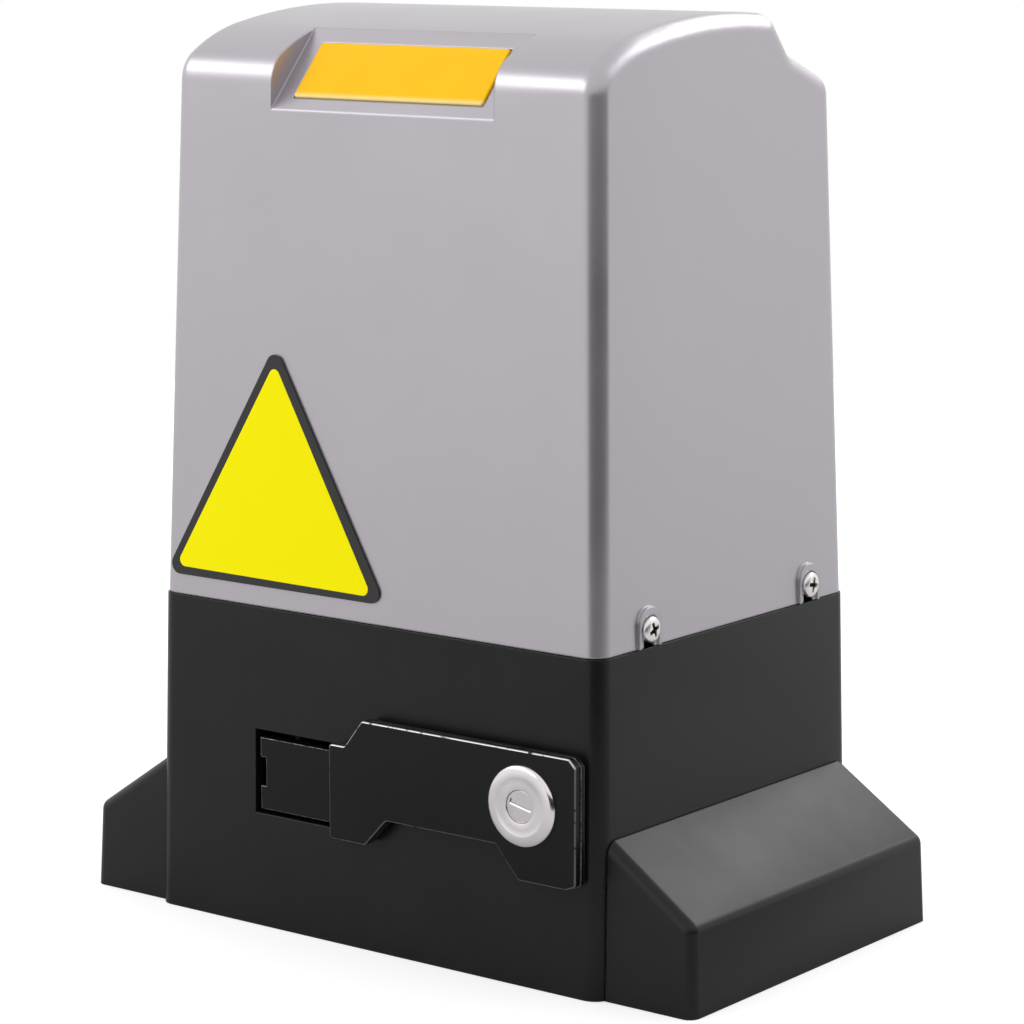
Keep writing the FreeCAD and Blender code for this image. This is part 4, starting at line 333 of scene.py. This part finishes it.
def turned_metal(name, colour, rough, axis, pitch=0.0005, centre=(0, 0, 0), recess_shading=False):
    """Turned or ground metal: fine rings round an axis seen in the gloss, and light stains.
    Where asked, the piece's own point attribute paints shade into its recesses."""
    material, shader, surface = new_material(name)
    place = shader.add("ShaderNodeTexCoord").outputs["Object"]
    turns = {"X": (0, math.pi / 2, 0), "Y": (math.pi / 2, 0, 0), "Z": (0, 0, 0)}
    moved = shader.add("ShaderNodeMapping",
                       {"Vector": place, "Location": tuple(-part for part in centre)})
    aligned = shader.add("ShaderNodeMapping",
                         {"Vector": moved.outputs[0], "Rotation": turns[axis]})
    rings = shader.add("ShaderNodeTexWave",
                       {"Vector": aligned.outputs[0], "Scale": 0.314 / pitch, "Distortion": 1.2,
                        "Detail": 2.0, "Detail Scale": 3.0},
                       wave_type="RINGS", rings_direction="Z")
    stains = shader.add("ShaderNodeTexNoise", {"Vector": place, "Scale": 90.0, "Detail": 5.0})
    tint = shader.blend(shader.span(stains.outputs["Fac"], 0.35, 0.7),
                        rgba(*(part * 0.90 for part in colour)), rgba(*colour))
    # Painted shade: a near-black colour in the slots and crosses, where shade falls.
    if recess_shading:
        depth = shader.add("ShaderNodeAttribute", attribute_name="painted_recess_shade")
        tint = shader.blend(depth.outputs["Fac"], tint, rgba(0.015, 0.013, 0.012))
    shader.feed(surface.inputs["Base Color"], tint)
    surface.inputs["Metallic"].default_value = 1.0
    shader.feed(surface.inputs["Roughness"],
                shader.span(rings.outputs["Fac"], 0.0, 1.0, rough * 0.8, rough * 1.25))
    relief = shader.add("ShaderNodeBump", {"Height": rings.outputs["Fac"], "Strength": 0.12,
                                           "Distance": 0.0001})
    shader.feed(surface.inputs["Normal"], relief.outputs[0])
    return material


def layered(name, colour, gap_colour, pitch, direction="Z", metal=0.0, rough=0.45):
    """Stacked sheets or wound wire: even lines along one direction, dark in the gaps."""
    material, shader, surface = new_material(name)
    place = shader.add("ShaderNodeTexCoord").outputs["Object"]
    lines = shader.add("ShaderNodeTexWave",
                       {"Vector": place, "Scale": 0.314 / pitch, "Distortion": 0.4,
                        "Detail": 1.0},
                       wave_type="BANDS", bands_direction=direction)
    stains = shader.add("ShaderNodeTexNoise", {"Vector": place, "Scale": 60.0, "Detail": 4.0})
    tint = shader.blend(shader.span(lines.outputs["Fac"], 0.05, 0.35), rgba(*gap_colour),
                        rgba(*colour))
    tint = shader.blend(shader.span(stains.outputs["Fac"], 0.45, 0.75, 0.0, 0.35), tint,
                        rgba(*(part * 0.6 for part in colour)))
    shader.feed(surface.inputs["Base Color"], tint)
    surface.inputs["Metallic"].default_value = metal
    shader.feed(surface.inputs["Roughness"],
                shader.span(stains.outputs["Fac"], 0.2, 0.8, rough * 0.8, rough * 1.2))
    relief = shader.add("ShaderNodeBump", {"Height": lines.outputs["Fac"], "Strength": 0.5,
                                           "Distance": 0.0003})
    shader.feed(surface.inputs["Normal"], relief.outputs[0])
    return material


def zinc_sheet(name):
    """Zinc-plated sheet: pale crystals that differ a little in tint and gloss."""
    material, shader, surface = new_material(name)
    place = shader.add("ShaderNodeTexCoord").outputs["Object"]
    crystals = shader.add("ShaderNodeTexVoronoi", {"Vector": place, "Scale": 160.0})
    shade = shader.add("ShaderNodeSeparateColor", {"Color": crystals.outputs["Color"]})
    tint = shader.blend(shade.outputs[0], rgba(0.52, 0.53, 0.55), rgba(0.66, 0.67, 0.68))
    shader.feed(surface.inputs["Base Color"], tint)
    surface.inputs["Metallic"].default_value = 1.0
    shader.feed(surface.inputs["Roughness"], shader.span(shade.outputs[1], 0, 1, 0.28, 0.42))
    return material


def board_mask(name):
    """Circuit board: green mask over copper runs, with small bright pads on a grid."""
    material, shader, surface = new_material(name)
    place = shader.add("ShaderNodeTexCoord").outputs["Object"]
    runs = shader.add("ShaderNodeTexBrick",
                      {"Vector": place, "Scale": 90.0, "Mortar Size": 0.06,
                       "Color1": rgba(0.02, 0.16, 0.06), "Color2": rgba(0.02, 0.20, 0.08),
                       "Mortar": rgba(0.05, 0.34, 0.14)})
    pads = shader.add("ShaderNodeTexVoronoi", {"Vector": place, "Scale": 394.0,
                                               "Randomness": 0.0})
    chosen = shader.add("ShaderNodeTexNoise", {"Vector": place, "Scale": 70.0})
    dots = shader.sums("MULTIPLY", shader.span(pads.outputs["Distance"], 0.26, 0.2),
                       shader.span(chosen.outputs["Fac"], 0.58, 0.6))
    shader.feed(surface.inputs["Base Color"],
                shader.blend(dots, runs.outputs["Color"], rgba(0.70, 0.70, 0.66)))
    shader.feed(surface.inputs["Roughness"], shader.span(dots, 0, 1, 0.25, 0.4))
    shader.feed(surface.inputs["Metallic"], dots)
    return material


# Finishes by the record's material slots
# Bare steel colour of worn edges, also used for the painted highlight on the lever's rim.
BARE_EDGE_AND_HIGHLIGHT = (0.50, 0.49, 0.49)
BADGE_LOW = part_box("badge_plate")[0][2]
FINISHES = {
    "casing_black": skin("casing_paint", (0.0070, 0.0070, 0.0072), 0.30, 0.7, 0.06, 0.12,
                         wear=(0.0006, 0.45, (0.08, 0.08, 0.08)), specular=0.25,
                         soft_edge=0.0007),
    "cover_grey": skin("cover_paint", (0.458, 0.434, 0.466), 0.35, 1.1, 0.006, 0.010,
                       metal=0.86, specular=0.5, soft_edge=0.0011),
    "foot_black": skin("foot_plastic", (0.0075, 0.0072, 0.0076), 0.34, 0.8, 0.08, 0.12,
                       wear=(0.0006, 0.40, (0.08, 0.08, 0.08)), specular=0.28,
                       soft_edge=0.0006),
    # The badge's lower edge carries a pale painted highlight.
    "badge_orange": skin("badge_skin_with_highlight", (1.0, 0.54, 0.004), 0.16, 0.5, 0.01, 0.02, specular=0.14,
                         low_highlight=((1.0, 0.86, 0.42), BADGE_LOW + 0.0006, BADGE_LOW + 0.0030)),
    "sign_yellow": skin("sign_border", (0.008, 0.008, 0.008), 0.28, 0.5, 0.03, 0.1),
    "screw_steel": turned_metal("screw_metal", (0.62, 0.61, 0.59), 0.26, "X", 0.0004),
    "lever_black": skin("lever_paint", (0.0040, 0.0040, 0.0044), 0.36, 0.6, 0.10, 0.12,
                        wear=(0.0004, 1.4, BARE_EDGE_AND_HIGHLIGHT, 1.0), scratches=0.12, specular=0.18,
                        soft_edge=0.0005),
    # The front plate's rim is bare metal, partly wear and partly a painted highlight along the
    # top.
    "lever_front": skin("lever_front_paint_with_highlight", (0.0040, 0.0040, 0.0044), 0.36, 0.6, 0.10, 0.12,
                        wear=(0.0004, 1.4, BARE_EDGE_AND_HIGHLIGHT, 1.0), scratches=0.12, specular=0.18,
                        soft_edge=0.0003, rim=BARE_EDGE_AND_HIGHLIGHT),
    "lock_chrome": turned_metal("lock_metal", (0.80, 0.765, 0.775), 0.16, "Y", 0.0004,
                                centre=(0.0775, 0, 0.0692)),
    # The plug and the screw heads get painted shade in their recesses.
    "plug_metal": turned_metal("plug_metal", (0.70, 0.665, 0.675), 0.24, "Y", 0.0005,
                               centre=(0.0775, 0, 0.0692), recess_shading=True),
    "screw_head": turned_metal("screw_head", (0.86, 0.82, 0.81), 0.26, "X", 0.0004, recess_shading=True),
    "shaft_steel": turned_metal("ground_steel", (0.56, 0.56, 0.57), 0.24, "Y", 0.0005,
                                centre=(-0.04, 0, 0.0605)),
    "gear_steel": skin("milled_steel", (0.42, 0.42, 0.43), 0.34, 0.3, 0.12, 0.12, metal=1.0,
                       wear=(0.0005, 0.6, (0.72, 0.72, 0.73))),
    "wheel_bronze": skin("cast_bronze", (0.62, 0.42, 0.19), 0.36, 0.4, 0.15, 0.14, metal=1.0),
    "seal_rubber": skin("seal_rubber", (0.018, 0.018, 0.018), 0.55, 0.3, 0.2, 0.15),
    "sheet_zinc": zinc_sheet("zinc_sheet"),
    "bell_aluminium": skin("cast_aluminium", (0.58, 0.59, 0.60), 0.44, 0.5, 0.35, 0.10,
                           metal=1.0),
    "stack_steel": layered("stacked_sheets", (0.16, 0.16, 0.17), (0.02, 0.02, 0.02), 0.0010,
                           metal=0.8),
    "copper_wire": layered("wound_copper", (0.48, 0.20, 0.08), (0.08, 0.03, 0.01), 0.0016,
                           metal=0.5, rough=0.35),
    "fan_plastic": skin("fan_plastic", (0.02, 0.02, 0.022), 0.45, 0.6, 0.15, 0.1),
    "board_green": board_mask("board_mask"),
    "relay_plastic": skin("relay_plastic", (0.03, 0.06, 0.20), 0.4, 0.6, 0.1, 0.06),
    "terminal_green": skin("terminal_plastic", (0.03, 0.25, 0.09), 0.42, 0.6, 0.1, 0.06),
    "can_black": skin("can_sleeve", (0.02, 0.02, 0.04), 0.3, 0.6, 0.04, 0.05, coat=0.4),
    "can_white": skin("can_plastic", (0.70, 0.69, 0.65), 0.42, 0.6, 0.08, 0.03),
    "core_dark": layered("core_sheets", (0.13, 0.13, 0.14), (0.015, 0.015, 0.015), 0.0010, "Y",
                         metal=0.8),
    "spool_yellow": layered("taped_winding", (0.70, 0.56, 0.10), (0.30, 0.22, 0.04), 0.0060,
                            rough=0.3),
    "spacer_white": skin("spacer_nylon", (0.75, 0.75, 0.72), 0.4, 0.6, 0.05, 0.03),
    "button_red": skin("button_plastic", (0.50, 0.03, 0.02), 0.35, 0.5, 0.05, 0.04),
    "sign_film": skin("sign_film", (1.0, 0.90, 0.0), 0.30, 0.5, 0.02, 0.0, specular=0.06),
    "limit_black": skin("limit_plastic", (0.018, 0.018, 0.019), 0.42, 0.7, 0.12, 0.08),
    "spring_steel": turned_metal("drawn_wire", (0.55, 0.55, 0.56), 0.28, "Z", 0.0006),
}


def dress_solids():
    """Every solid gets its slot's finish, welded smooth faces and creases kept."""
    for part in frame["record"]["subparts"]:
        solid = nodes[part["node"]]
        mesh = solid.data
        mesh.materials.clear()
        slot = "lever_front" if part["node"] == "release_lever" else part["material_slot"]
        mesh.materials.append(FINISHES[slot])
        mesh.polygons.foreach_set("use_smooth", np.ones(len(mesh.polygons), bool))
        weld = solid.modifiers.new("weld", "WELD")
        weld.merge_threshold = WELD_REACH
        crease = solid.modifiers.new("crease", "EDGE_SPLIT")
        crease.split_angle = CREASE_ANGLE
        crease.use_edge_sharp = False


# Surfaces worked out on grids

def grid_faces(rows, columns, closed):
    """Quads of a grid of points; closed joins the last column to the first."""
    index = np.arange(rows * columns).reshape(rows, columns)
    if closed:
        index = np.hstack([index, index[:, :1]])
    return np.stack([index[:-1, :-1], index[:-1, 1:], index[1:, 1:], index[1:, :-1]],
                    axis=-1).reshape(-1, 4)


def new_piece(name, points, faces, material, body):
    """Smooth mesh piece from points and faces, with its finish, riding on a body."""
    mesh = bpy.data.meshes.new(name)
    mesh.from_pydata(points.tolist(), [], [list(face) for face in faces])
    mesh.polygons.foreach_set("use_smooth", np.ones(len(mesh.polygons), bool))
    mesh.materials.append(material)
    mesh.update()
    piece = bpy.data.objects.new(name, mesh)
    bpy.context.scene.collection.objects.link(piece)
    crease = piece.modifiers.new("crease", "EDGE_SPLIT")
    crease.split_angle = PIECE_CREASE
    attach(piece, body)
    return piece


def disc_surface(radii, count, height_of):
    """Round surface about the local z axis. Points lie on circles of the given radii; the
    height is a function of the local x and y arrays. The middle is closed by a fan."""
    angles = np.linspace(0, 2 * math.pi, count, endpoint=False)
    ring, turn = np.meshgrid(radii, angles, indexing="ij")
    x_part = ring * np.cos(turn)
    y_part = ring * np.sin(turn)
    points = np.stack([x_part, y_part, height_of(x_part, y_part, ring)], axis=-1)
    rows = len(radii)
    points = points.reshape(-1, 3)
    faces = [tuple(face) for face in grid_faces(rows, count, True)]
    middle = np.array([[0.0, 0.0, float(points[:count, 2].mean())]])
    points = np.vstack([points, middle])
    last = len(points) - 1
    faces += [(last, (step + 1) % count, step) for step in range(count)]
    return points, [face[::-1] for face in faces]


def paint_recess_shade(piece, shares):
    """Gives each point of a piece its share of painted shade for its recesses."""
    layer = piece.data.attributes.new("painted_recess_shade", "FLOAT", "POINT")
    layer.data.foreach_set("value", np.asarray(shares, np.float32))


def placed(points, origin, side, up):
    """Local points moved so that their x runs along side, y along up and z along their cross."""
    side = np.array(side, float)
    up = np.array(up, float)
    out = np.cross(side, up)
    return np.array(origin) + points @ np.stack([side, up, out])


def smooth_step(value, low, high):
    """Cubic step from 0 at low to 1 at high."""
    share = np.clip((value - low) / (high - low), 0, 1)
    return share * share * (3 - 2 * share)


def make_cover_screws():
    """Pan heads with a cross recess. The head's height over a radius r is a flat top that
    turns down along a quarter ellipse; the cross is two crossed slots that taper inward and
    slope down to the middle."""
    low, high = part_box("cover_screws")
    head_radius = (high[2] - low[2]) / 2

    def cross(x_part, y_part, ring):
        near = np.minimum(np.abs(x_part), np.abs(y_part))
        width = CROSS_HALF * (1.25 - 0.35 * ring / CROSS_REACH)
        return ((1 - smooth_step(near, width, width + CROSS_FLANK))
                * (1 - smooth_step(ring, CROSS_REACH * 0.92, CROSS_REACH)))

    def height(x_part, y_part, ring):
        edge = np.clip((ring / head_radius - 0.45) / 0.55, 0, 1)
        dome = HEAD_RISE * (0.42 + 0.58 * np.sqrt(1 - edge ** 2 * 0.9999))
        dome = np.where(ring > head_radius * 0.999, 0.0, dome)
        depth = CROSS_DEPTH - CROSS_LOSS * ring / CROSS_REACH
        return dome - cross(x_part, y_part, ring) * depth

    radii = np.concatenate([np.linspace(0.00012, CROSS_REACH * 1.06, 26),
                            head_radius * np.sqrt(np.linspace(0.45, 1, 12))])
    radii = np.unique(np.round(radii, 7))
    points, faces = disc_surface(radii, 128, height)
    # Painted shade in the cross recess, one share per point.
    recess_shading = cross(points[:, 0], points[:, 1], np.hypot(points[:, 0], points[:, 1]))
    spots = {}
    for side in (-1, 1):
        face_x = (high[0] if side > 0 else -low[0]) - HEAD_RISE
        for number, y_part in enumerate((low[1] + head_radius, high[1] - head_radius)):
            spots[f"{'right' if side > 0 else 'left'}_{number}"] = (side, face_x, y_part,
                                                                   0.4 + number)
    heads = []
    for name, (side, face_x, y_part, turn) in spots.items():
        flat = np.array([math.cos(turn), math.sin(turn)])
        across = np.array([0, side * flat[0], flat[1]])
        up = np.array([0, -side * flat[1], flat[0]])
        origin = (side * face_x, y_part, (low[2] + high[2]) / 2)
        head = new_piece(f"cover_screw_head_{name}", placed(points, origin, across, up), faces,
                         FINISHES["screw_head"], "casing")
        paint_recess_shade(head, recess_shading)
        heads.append(head)
    return heads


def facing_out(points, faces):
    """Quads of a closed surface, turned over if their signed volume is negative. Each quad
    gives two triangles, and a triangle gives a sixth of the product of its corners."""
    quads = np.array(faces)
    volume = 0.0
    for picks in ((0, 1, 2), (0, 2, 3)):
        first, second, third = (points[quads[:, pick]] for pick in picks)
        volume += (first * np.cross(second, third)).sum()
    return quads[:, ::-1] if volume < 0 else quads


def turned(profile, height_of, count):
    """Closed body turned about the local z axis. A profile row is a radius and a height; on
    the rows of the front face height_of(x, y) is added. The last row meets the first, or the
    first and the last radius are so small that a short quad row closes the pole."""
    profile = np.array(profile, float)
    angles = np.linspace(0, 2 * math.pi, count, endpoint=False)
    x_part = profile[:, :1] * np.cos(angles)
    y_part = profile[:, :1] * np.sin(angles)
    z_part = profile[:, 1:2] + height_of(x_part, y_part)
    points = np.stack([x_part, y_part, z_part], axis=-1)
    rows = len(profile)
    index = np.arange(rows * count).reshape(rows, count)
    index = np.vstack([index, index[:1]])
    index = np.hstack([index, index[:, :1]])
    quads = np.stack([index[:-1, :-1], index[:-1, 1:], index[1:, 1:], index[1:, :-1]],
                     axis=-1).reshape(-1, 4)
    points = points.reshape(-1, 3)
    return points, facing_out(points, quads)


def make_lock():
    """Lock ring and plug, in millimetres in front of the lever. The ring's rim is a quarter of
    a superellipse from its foot to the flat face. The plug's face carries a tilted key slot
    with a sloped lip that mirrors the lamp, and a small notch beside it; the slot's groove and
    the notch are darkened with painted shade."""
    low, high = np.array(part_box("lock_ring")) * 1000
    centre = (low + high) / 2
    outer = (high[0] - low[0]) / 2
    lever_face = low[1] + LOCK_RISE
    depth = lever_face - high[1]
    turn = np.linspace(0, math.pi / 2, 14)
    rim_radius = outer - RIM_WIDTH + RIM_WIDTH * np.cos(turn) ** 0.85
    rim_rise = 0.12 + (LOCK_RISE - 0.12) * np.sin(turn) ** 0.9
    bore = PLUG_RADIUS + 0.12
    profile = [(BARREL_RADIUS, depth), (BARREL_RADIUS, -0.05), (outer - 0.2, -0.05),
               (outer, 0.0)]
    profile += list(zip(rim_radius, rim_rise))
    profile += [(10.7, LOCK_RISE - 0.02), (10.4, LOCK_RISE - 0.14), (8.5, LOCK_RISE - 0.16),
                (bore + 0.35, LOCK_RISE - 0.16), (bore + 0.1, LOCK_RISE - 0.24),
                (bore, LOCK_RISE - 0.45), (bore, depth)]
    points, faces = turned(profile, lambda x_part, y_part: x_part * 0, 128)
    origin = np.array([centre[0], lever_face, centre[2]])
    side, up = (1, 0, 0), (0, 0, 1)
    ring = new_piece("lock_ring_turned", placed(points, origin, side, up) / 1000, faces,
                     FINISHES["lock_chrome"], "lever")
    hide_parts("lock_ring")

    plug_low, plug_high = np.array(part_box("lock_plug")) * 1000
    plug_depth = lever_face - plug_high[1]
    face = LOCK_RISE - PLUG_BACK
    slope = math.radians(KEY_TILT)

    def recess(x_part, y_part):
        along = x_part * math.cos(slope) + y_part * math.sin(slope)
        across = y_part * math.cos(slope) - x_part * math.sin(slope)
        inside = 1 - smooth_step(np.abs(along), KEY_HALF, KEY_HALF + 0.2)
        groove = inside * (smooth_step(across, 0.05, 0.13) - smooth_step(across, 0.25, 0.33))
        lip = inside * np.clip((across + 0.50) / 0.56, 0, 1) * (across < 0.33)
        notch = (1 - smooth_step(np.abs(along + 4.4), 0.16, 0.24)) \
            * (1 - smooth_step(np.abs(across - 1.15), 0.5, 0.62))
        notch = notch * (np.hypot(x_part, y_part) < PLUG_RADIUS - 0.3)
        return groove, lip, notch

    def slot(x_part, y_part):
        groove, lip, notch = recess(x_part, y_part)
        return -GROOVE_DEPTH * groove - LIP_DEPTH * lip - NOTCH_DEPTH * notch

    radii = np.linspace(0.02, PLUG_RADIUS - 0.22, 64)
    front = [(radius, face) for radius in radii]
    front += [(PLUG_RADIUS - 0.08, face - 0.05), (PLUG_RADIUS, face - 0.18)]
    back = [(PLUG_RADIUS, plug_depth + 3), (PLUG_RADIUS * 0.3, plug_depth + 3),
            (PLUG_RADIUS * 0.3, plug_depth), (0.02, plug_depth)]
    rows = np.array(front + back)
    shown = (np.arange(len(rows)) < len(radii))[:, None]
    points, faces = turned(rows, lambda x_part, y_part: slot(x_part, y_part) * shown, 288)
    groove, lip, notch = recess(points[:, 0], points[:, 1])
    plug = new_piece("lock_plug_turned", placed(points, origin, side, up) / 1000, faces,
                     FINISHES["plug_metal"], "lock")
    # Painted shade in the key slot's groove and in the notch.
    paint_recess_shade(plug, np.clip(groove + notch, 0, 1))
    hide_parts("lock_plug")


def corner_outline(corners, radius, steps):
    """Closed outline with rounded corners. At each corner the arc's centre lies on the bisector
    at radius / sin(half the corner's angle), and the arc turns through 180 degrees less the
    corner's angle; its points are that many equal turns from tangent to tangent."""
    corners = np.array(corners, float)
    before = np.roll(corners, 1, axis=0) - corners
    after = np.roll(corners, -1, axis=0) - corners
    before /= np.linalg.norm(before, axis=1, keepdims=True)
    after /= np.linalg.norm(after, axis=1, keepdims=True)
    half = np.arccos(np.clip((before * after).sum(axis=1), -1, 1)) / 2
    inward = before + after
    inward /= np.linalg.norm(inward, axis=1, keepdims=True)
    centres = corners + inward * (radius / np.sin(half))[:, None]
    middle = np.arctan2(-inward[:, 1], -inward[:, 0])
    sweep = (math.pi / 2 - half)[:, None] * np.linspace(-1, 1, steps)
    angles = middle[:, None] + sweep
    return (centres[:, None, :] + radius * np.stack([np.cos(angles), np.sin(angles)], -1)
            ).reshape(-1, 2)


def make_sign_film():
    """Blank yellow film on the sign's plate. Its rings are the rounded outline drawn towards its
    middle by shares from 1 to 0.02; the height falls to the plate over the last 0.15 mm."""
    plate = nodes["sign_plate"]
    count = len(plate.data.vertices)
    spots = np.empty(count * 3)
    plate.data.vertices.foreach_get("co", spots)
    spots = spots.reshape(-1, 3)
    out = np.array([0, -math.cos(COVER_DRAFT), math.sin(COVER_DRAFT)])
    up = np.array([0, math.sin(COVER_DRAFT), math.cos(COVER_DRAFT)])
    face = (spots @ out).max()
    rim = corner_outline(SIGN_CORNERS, SIGN_ROUND, 12)
    middle = rim.mean(axis=0)
    shares = np.array([1.0, 0.9985, 0.995, 0.98, 0.9, 0.7, 0.4, 0.02])
    heights = np.array([0.0, 0.7, 1.0, 1.0, 1.0, 1.0, 1.0, 1.0]) * FILM_THICK
    flat = middle + shares[:, None, None] * (rim - middle)
    rows, columns = flat.shape[:2]
    base = np.array([0, *(face * out[1:])])
    upright = (flat[..., 1] - base[2]) / up[2]
    points = (base + flat[..., :1] * np.array([1.0, 0, 0]) + upright[..., None] * up
              + (heights[:, None] + FILM_LIFT)[..., None] * out).reshape(-1, 3)
    faces = [tuple(quad[::-1]) for quad in grid_faces(rows, columns, True)]
    last = (rows - 1) * columns
    faces.append(tuple(range(last, last + columns))[::-1])
    new_piece("sign_film", points, faces, FINISHES["sign_film"], "casing")


# The studio

def plain_card(name, corners):
    """Flat four-cornered surface of the studio."""
    mesh = bpy.data.meshes.new(name)
    mesh.from_pydata(corners, [], [(0, 1, 2, 3)])
    card = bpy.data.objects.new(name, mesh)
    bpy.context.scene.collection.objects.link(card)
    material = bpy.data.materials.new(name)
    material.use_nodes = True
    material.node_tree.nodes.clear()
    mesh.materials.append(material)
    return Shader(material.node_tree)


def camera_ways():
    """Level directions from the object towards the camera's place and across it."""
    return (Vector((math.sin(CAMERA_YAW), -math.cos(CAMERA_YAW), 0)),
            Vector((math.cos(CAMERA_YAW), math.sin(CAMERA_YAW), 0)))


def make_floor():
    """Pale floor, a square with one side near the camera's place. To the camera it glows a
    little, so that only the shadow shows on white."""
    ahead, across = camera_ways()
    corners = [ahead * reach + across * side * FLOOR_REACH + Vector((0, 0, FLOOR_LEVEL))
               for side, reach in ((-1, FLOOR_NEAR), (-1, -FLOOR_REACH), (1, -FLOOR_REACH),
                                   (1, FLOOR_NEAR))]
    shader = plain_card("floor", corners)
    matt = shader.add("ShaderNodeBsdfDiffuse", {"Color": rgba(*[FLOOR_GREY] * 3)})
    glow = shader.add("ShaderNodeEmission", {"Color": rgba(1, 1, 1), "Strength": FLOOR_GLOW})
    both = shader.add("ShaderNodeAddShader")
    shader.feed(both.inputs[0], matt.outputs[0])
    shader.feed(both.inputs[1], glow.outputs[0])
    seen = shader.add("ShaderNodeMixShader")
    ray = shader.add("ShaderNodeLightPath")
    shader.feed(seen.inputs[0], ray.outputs["Is Camera Ray"])
    shader.feed(seen.inputs[1], matt.outputs[0])
    shader.feed(seen.inputs[2], both.outputs[0])
    output = shader.add("ShaderNodeOutputMaterial")
    shader.feed(output.inputs["Surface"], seen.outputs[0])


def make_dark_screen():
    """Dark cloth that stands behind the camera's place, turned a little to its right, and gives
    the corners their dark line. Cameras see through it."""
    turn = Matrix.Rotation(SCREEN_TURN, 3, "Z")
    ahead, across = (turn @ way for way in camera_ways())
    middle = ahead * SCREEN_PLACE
    half = SCREEN_WIDTH / 2
    corners = [middle + across * side * half + Vector((0, 0, level))
               for side, level in ((-1, SCREEN_LOW), (1, SCREEN_LOW), (1, SCREEN_HIGH),
                                   (-1, SCREEN_HIGH))]
    shader = plain_card("dark_screen", corners)
    cloth = shader.add("ShaderNodeBsdfDiffuse", {"Color": rgba(*[SCREEN_DARK] * 3)})
    clear = shader.add("ShaderNodeBsdfTransparent")
    seen = shader.add("ShaderNodeMixShader")
    ray = shader.add("ShaderNodeLightPath")
    shader.feed(seen.inputs[0], ray.outputs["Is Camera Ray"])
    shader.feed(seen.inputs[1], cloth.outputs[0])
    shader.feed(seen.inputs[2], clear.outputs[0])
    output = shader.add("ShaderNodeOutputMaterial")
    shader.feed(output.inputs["Surface"], seen.outputs[0])


def make_surroundings():
    """White room: plain white to the eye and in gloss, softer as light on the object."""
    world = bpy.data.worlds.new("studio")
    bpy.context.scene.world = world
    world.use_nodes = True
    world.node_tree.nodes.clear()
    shader = Shader(world.node_tree)
    ray = shader.add("ShaderNodeLightPath")
    direct = shader.sums("MAXIMUM", ray.outputs["Is Camera Ray"],
                         ray.outputs["Is Transmission Ray"])
    direct = shader.sums("MAXIMUM", direct, ray.outputs["Is Glossy Ray"])
    ambient = shader.add("ShaderNodeBackground",
                         {"Color": rgba(1, 1, 1), "Strength": AMBIENT_LEVEL})
    white = shader.add("ShaderNodeBackground", {"Color": rgba(1, 1, 1), "Strength": 1.0})
    both = shader.add("ShaderNodeMixShader")
    shader.feed(both.inputs[0], direct)
    shader.feed(both.inputs[1], ambient.outputs[0])
    shader.feed(both.inputs[2], white.outputs[0])
    output = shader.add("ShaderNodeOutputWorld")
    shader.feed(output.inputs["Surface"], both.outputs[0])


def make_lamps():
    """Soft boxes: each stands along a direction from its target, faces it, and has a width, a
    height and a brightness; its power is brightness times area times pi."""
    for name, (target, way, distance, width, height, bright) in LAMPS.items():
        data = bpy.data.lights.new(name, "AREA")
        data.shape = "RECTANGLE"
        data.size = width
        data.size_y = height
        data.energy = bright * width * height * math.pi
        lamp = bpy.data.objects.new(name, data)
        way = Vector(way).normalized()
        lamp.location = Vector(target) + way * distance
        lamp.rotation_euler = (-way).to_track_quat("-Z", "Y").to_euler()
        bpy.context.scene.collection.objects.link(lamp)


# The scene
bpy.context.scene.view_settings.view_transform = "Standard"
make_camera()
dress_solids()
make_floor()
make_dark_screen()
make_surroundings()
make_lamps()
screw_heads = make_cover_screws()
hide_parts("cover_screws")
make_sign_film()
make_lock()
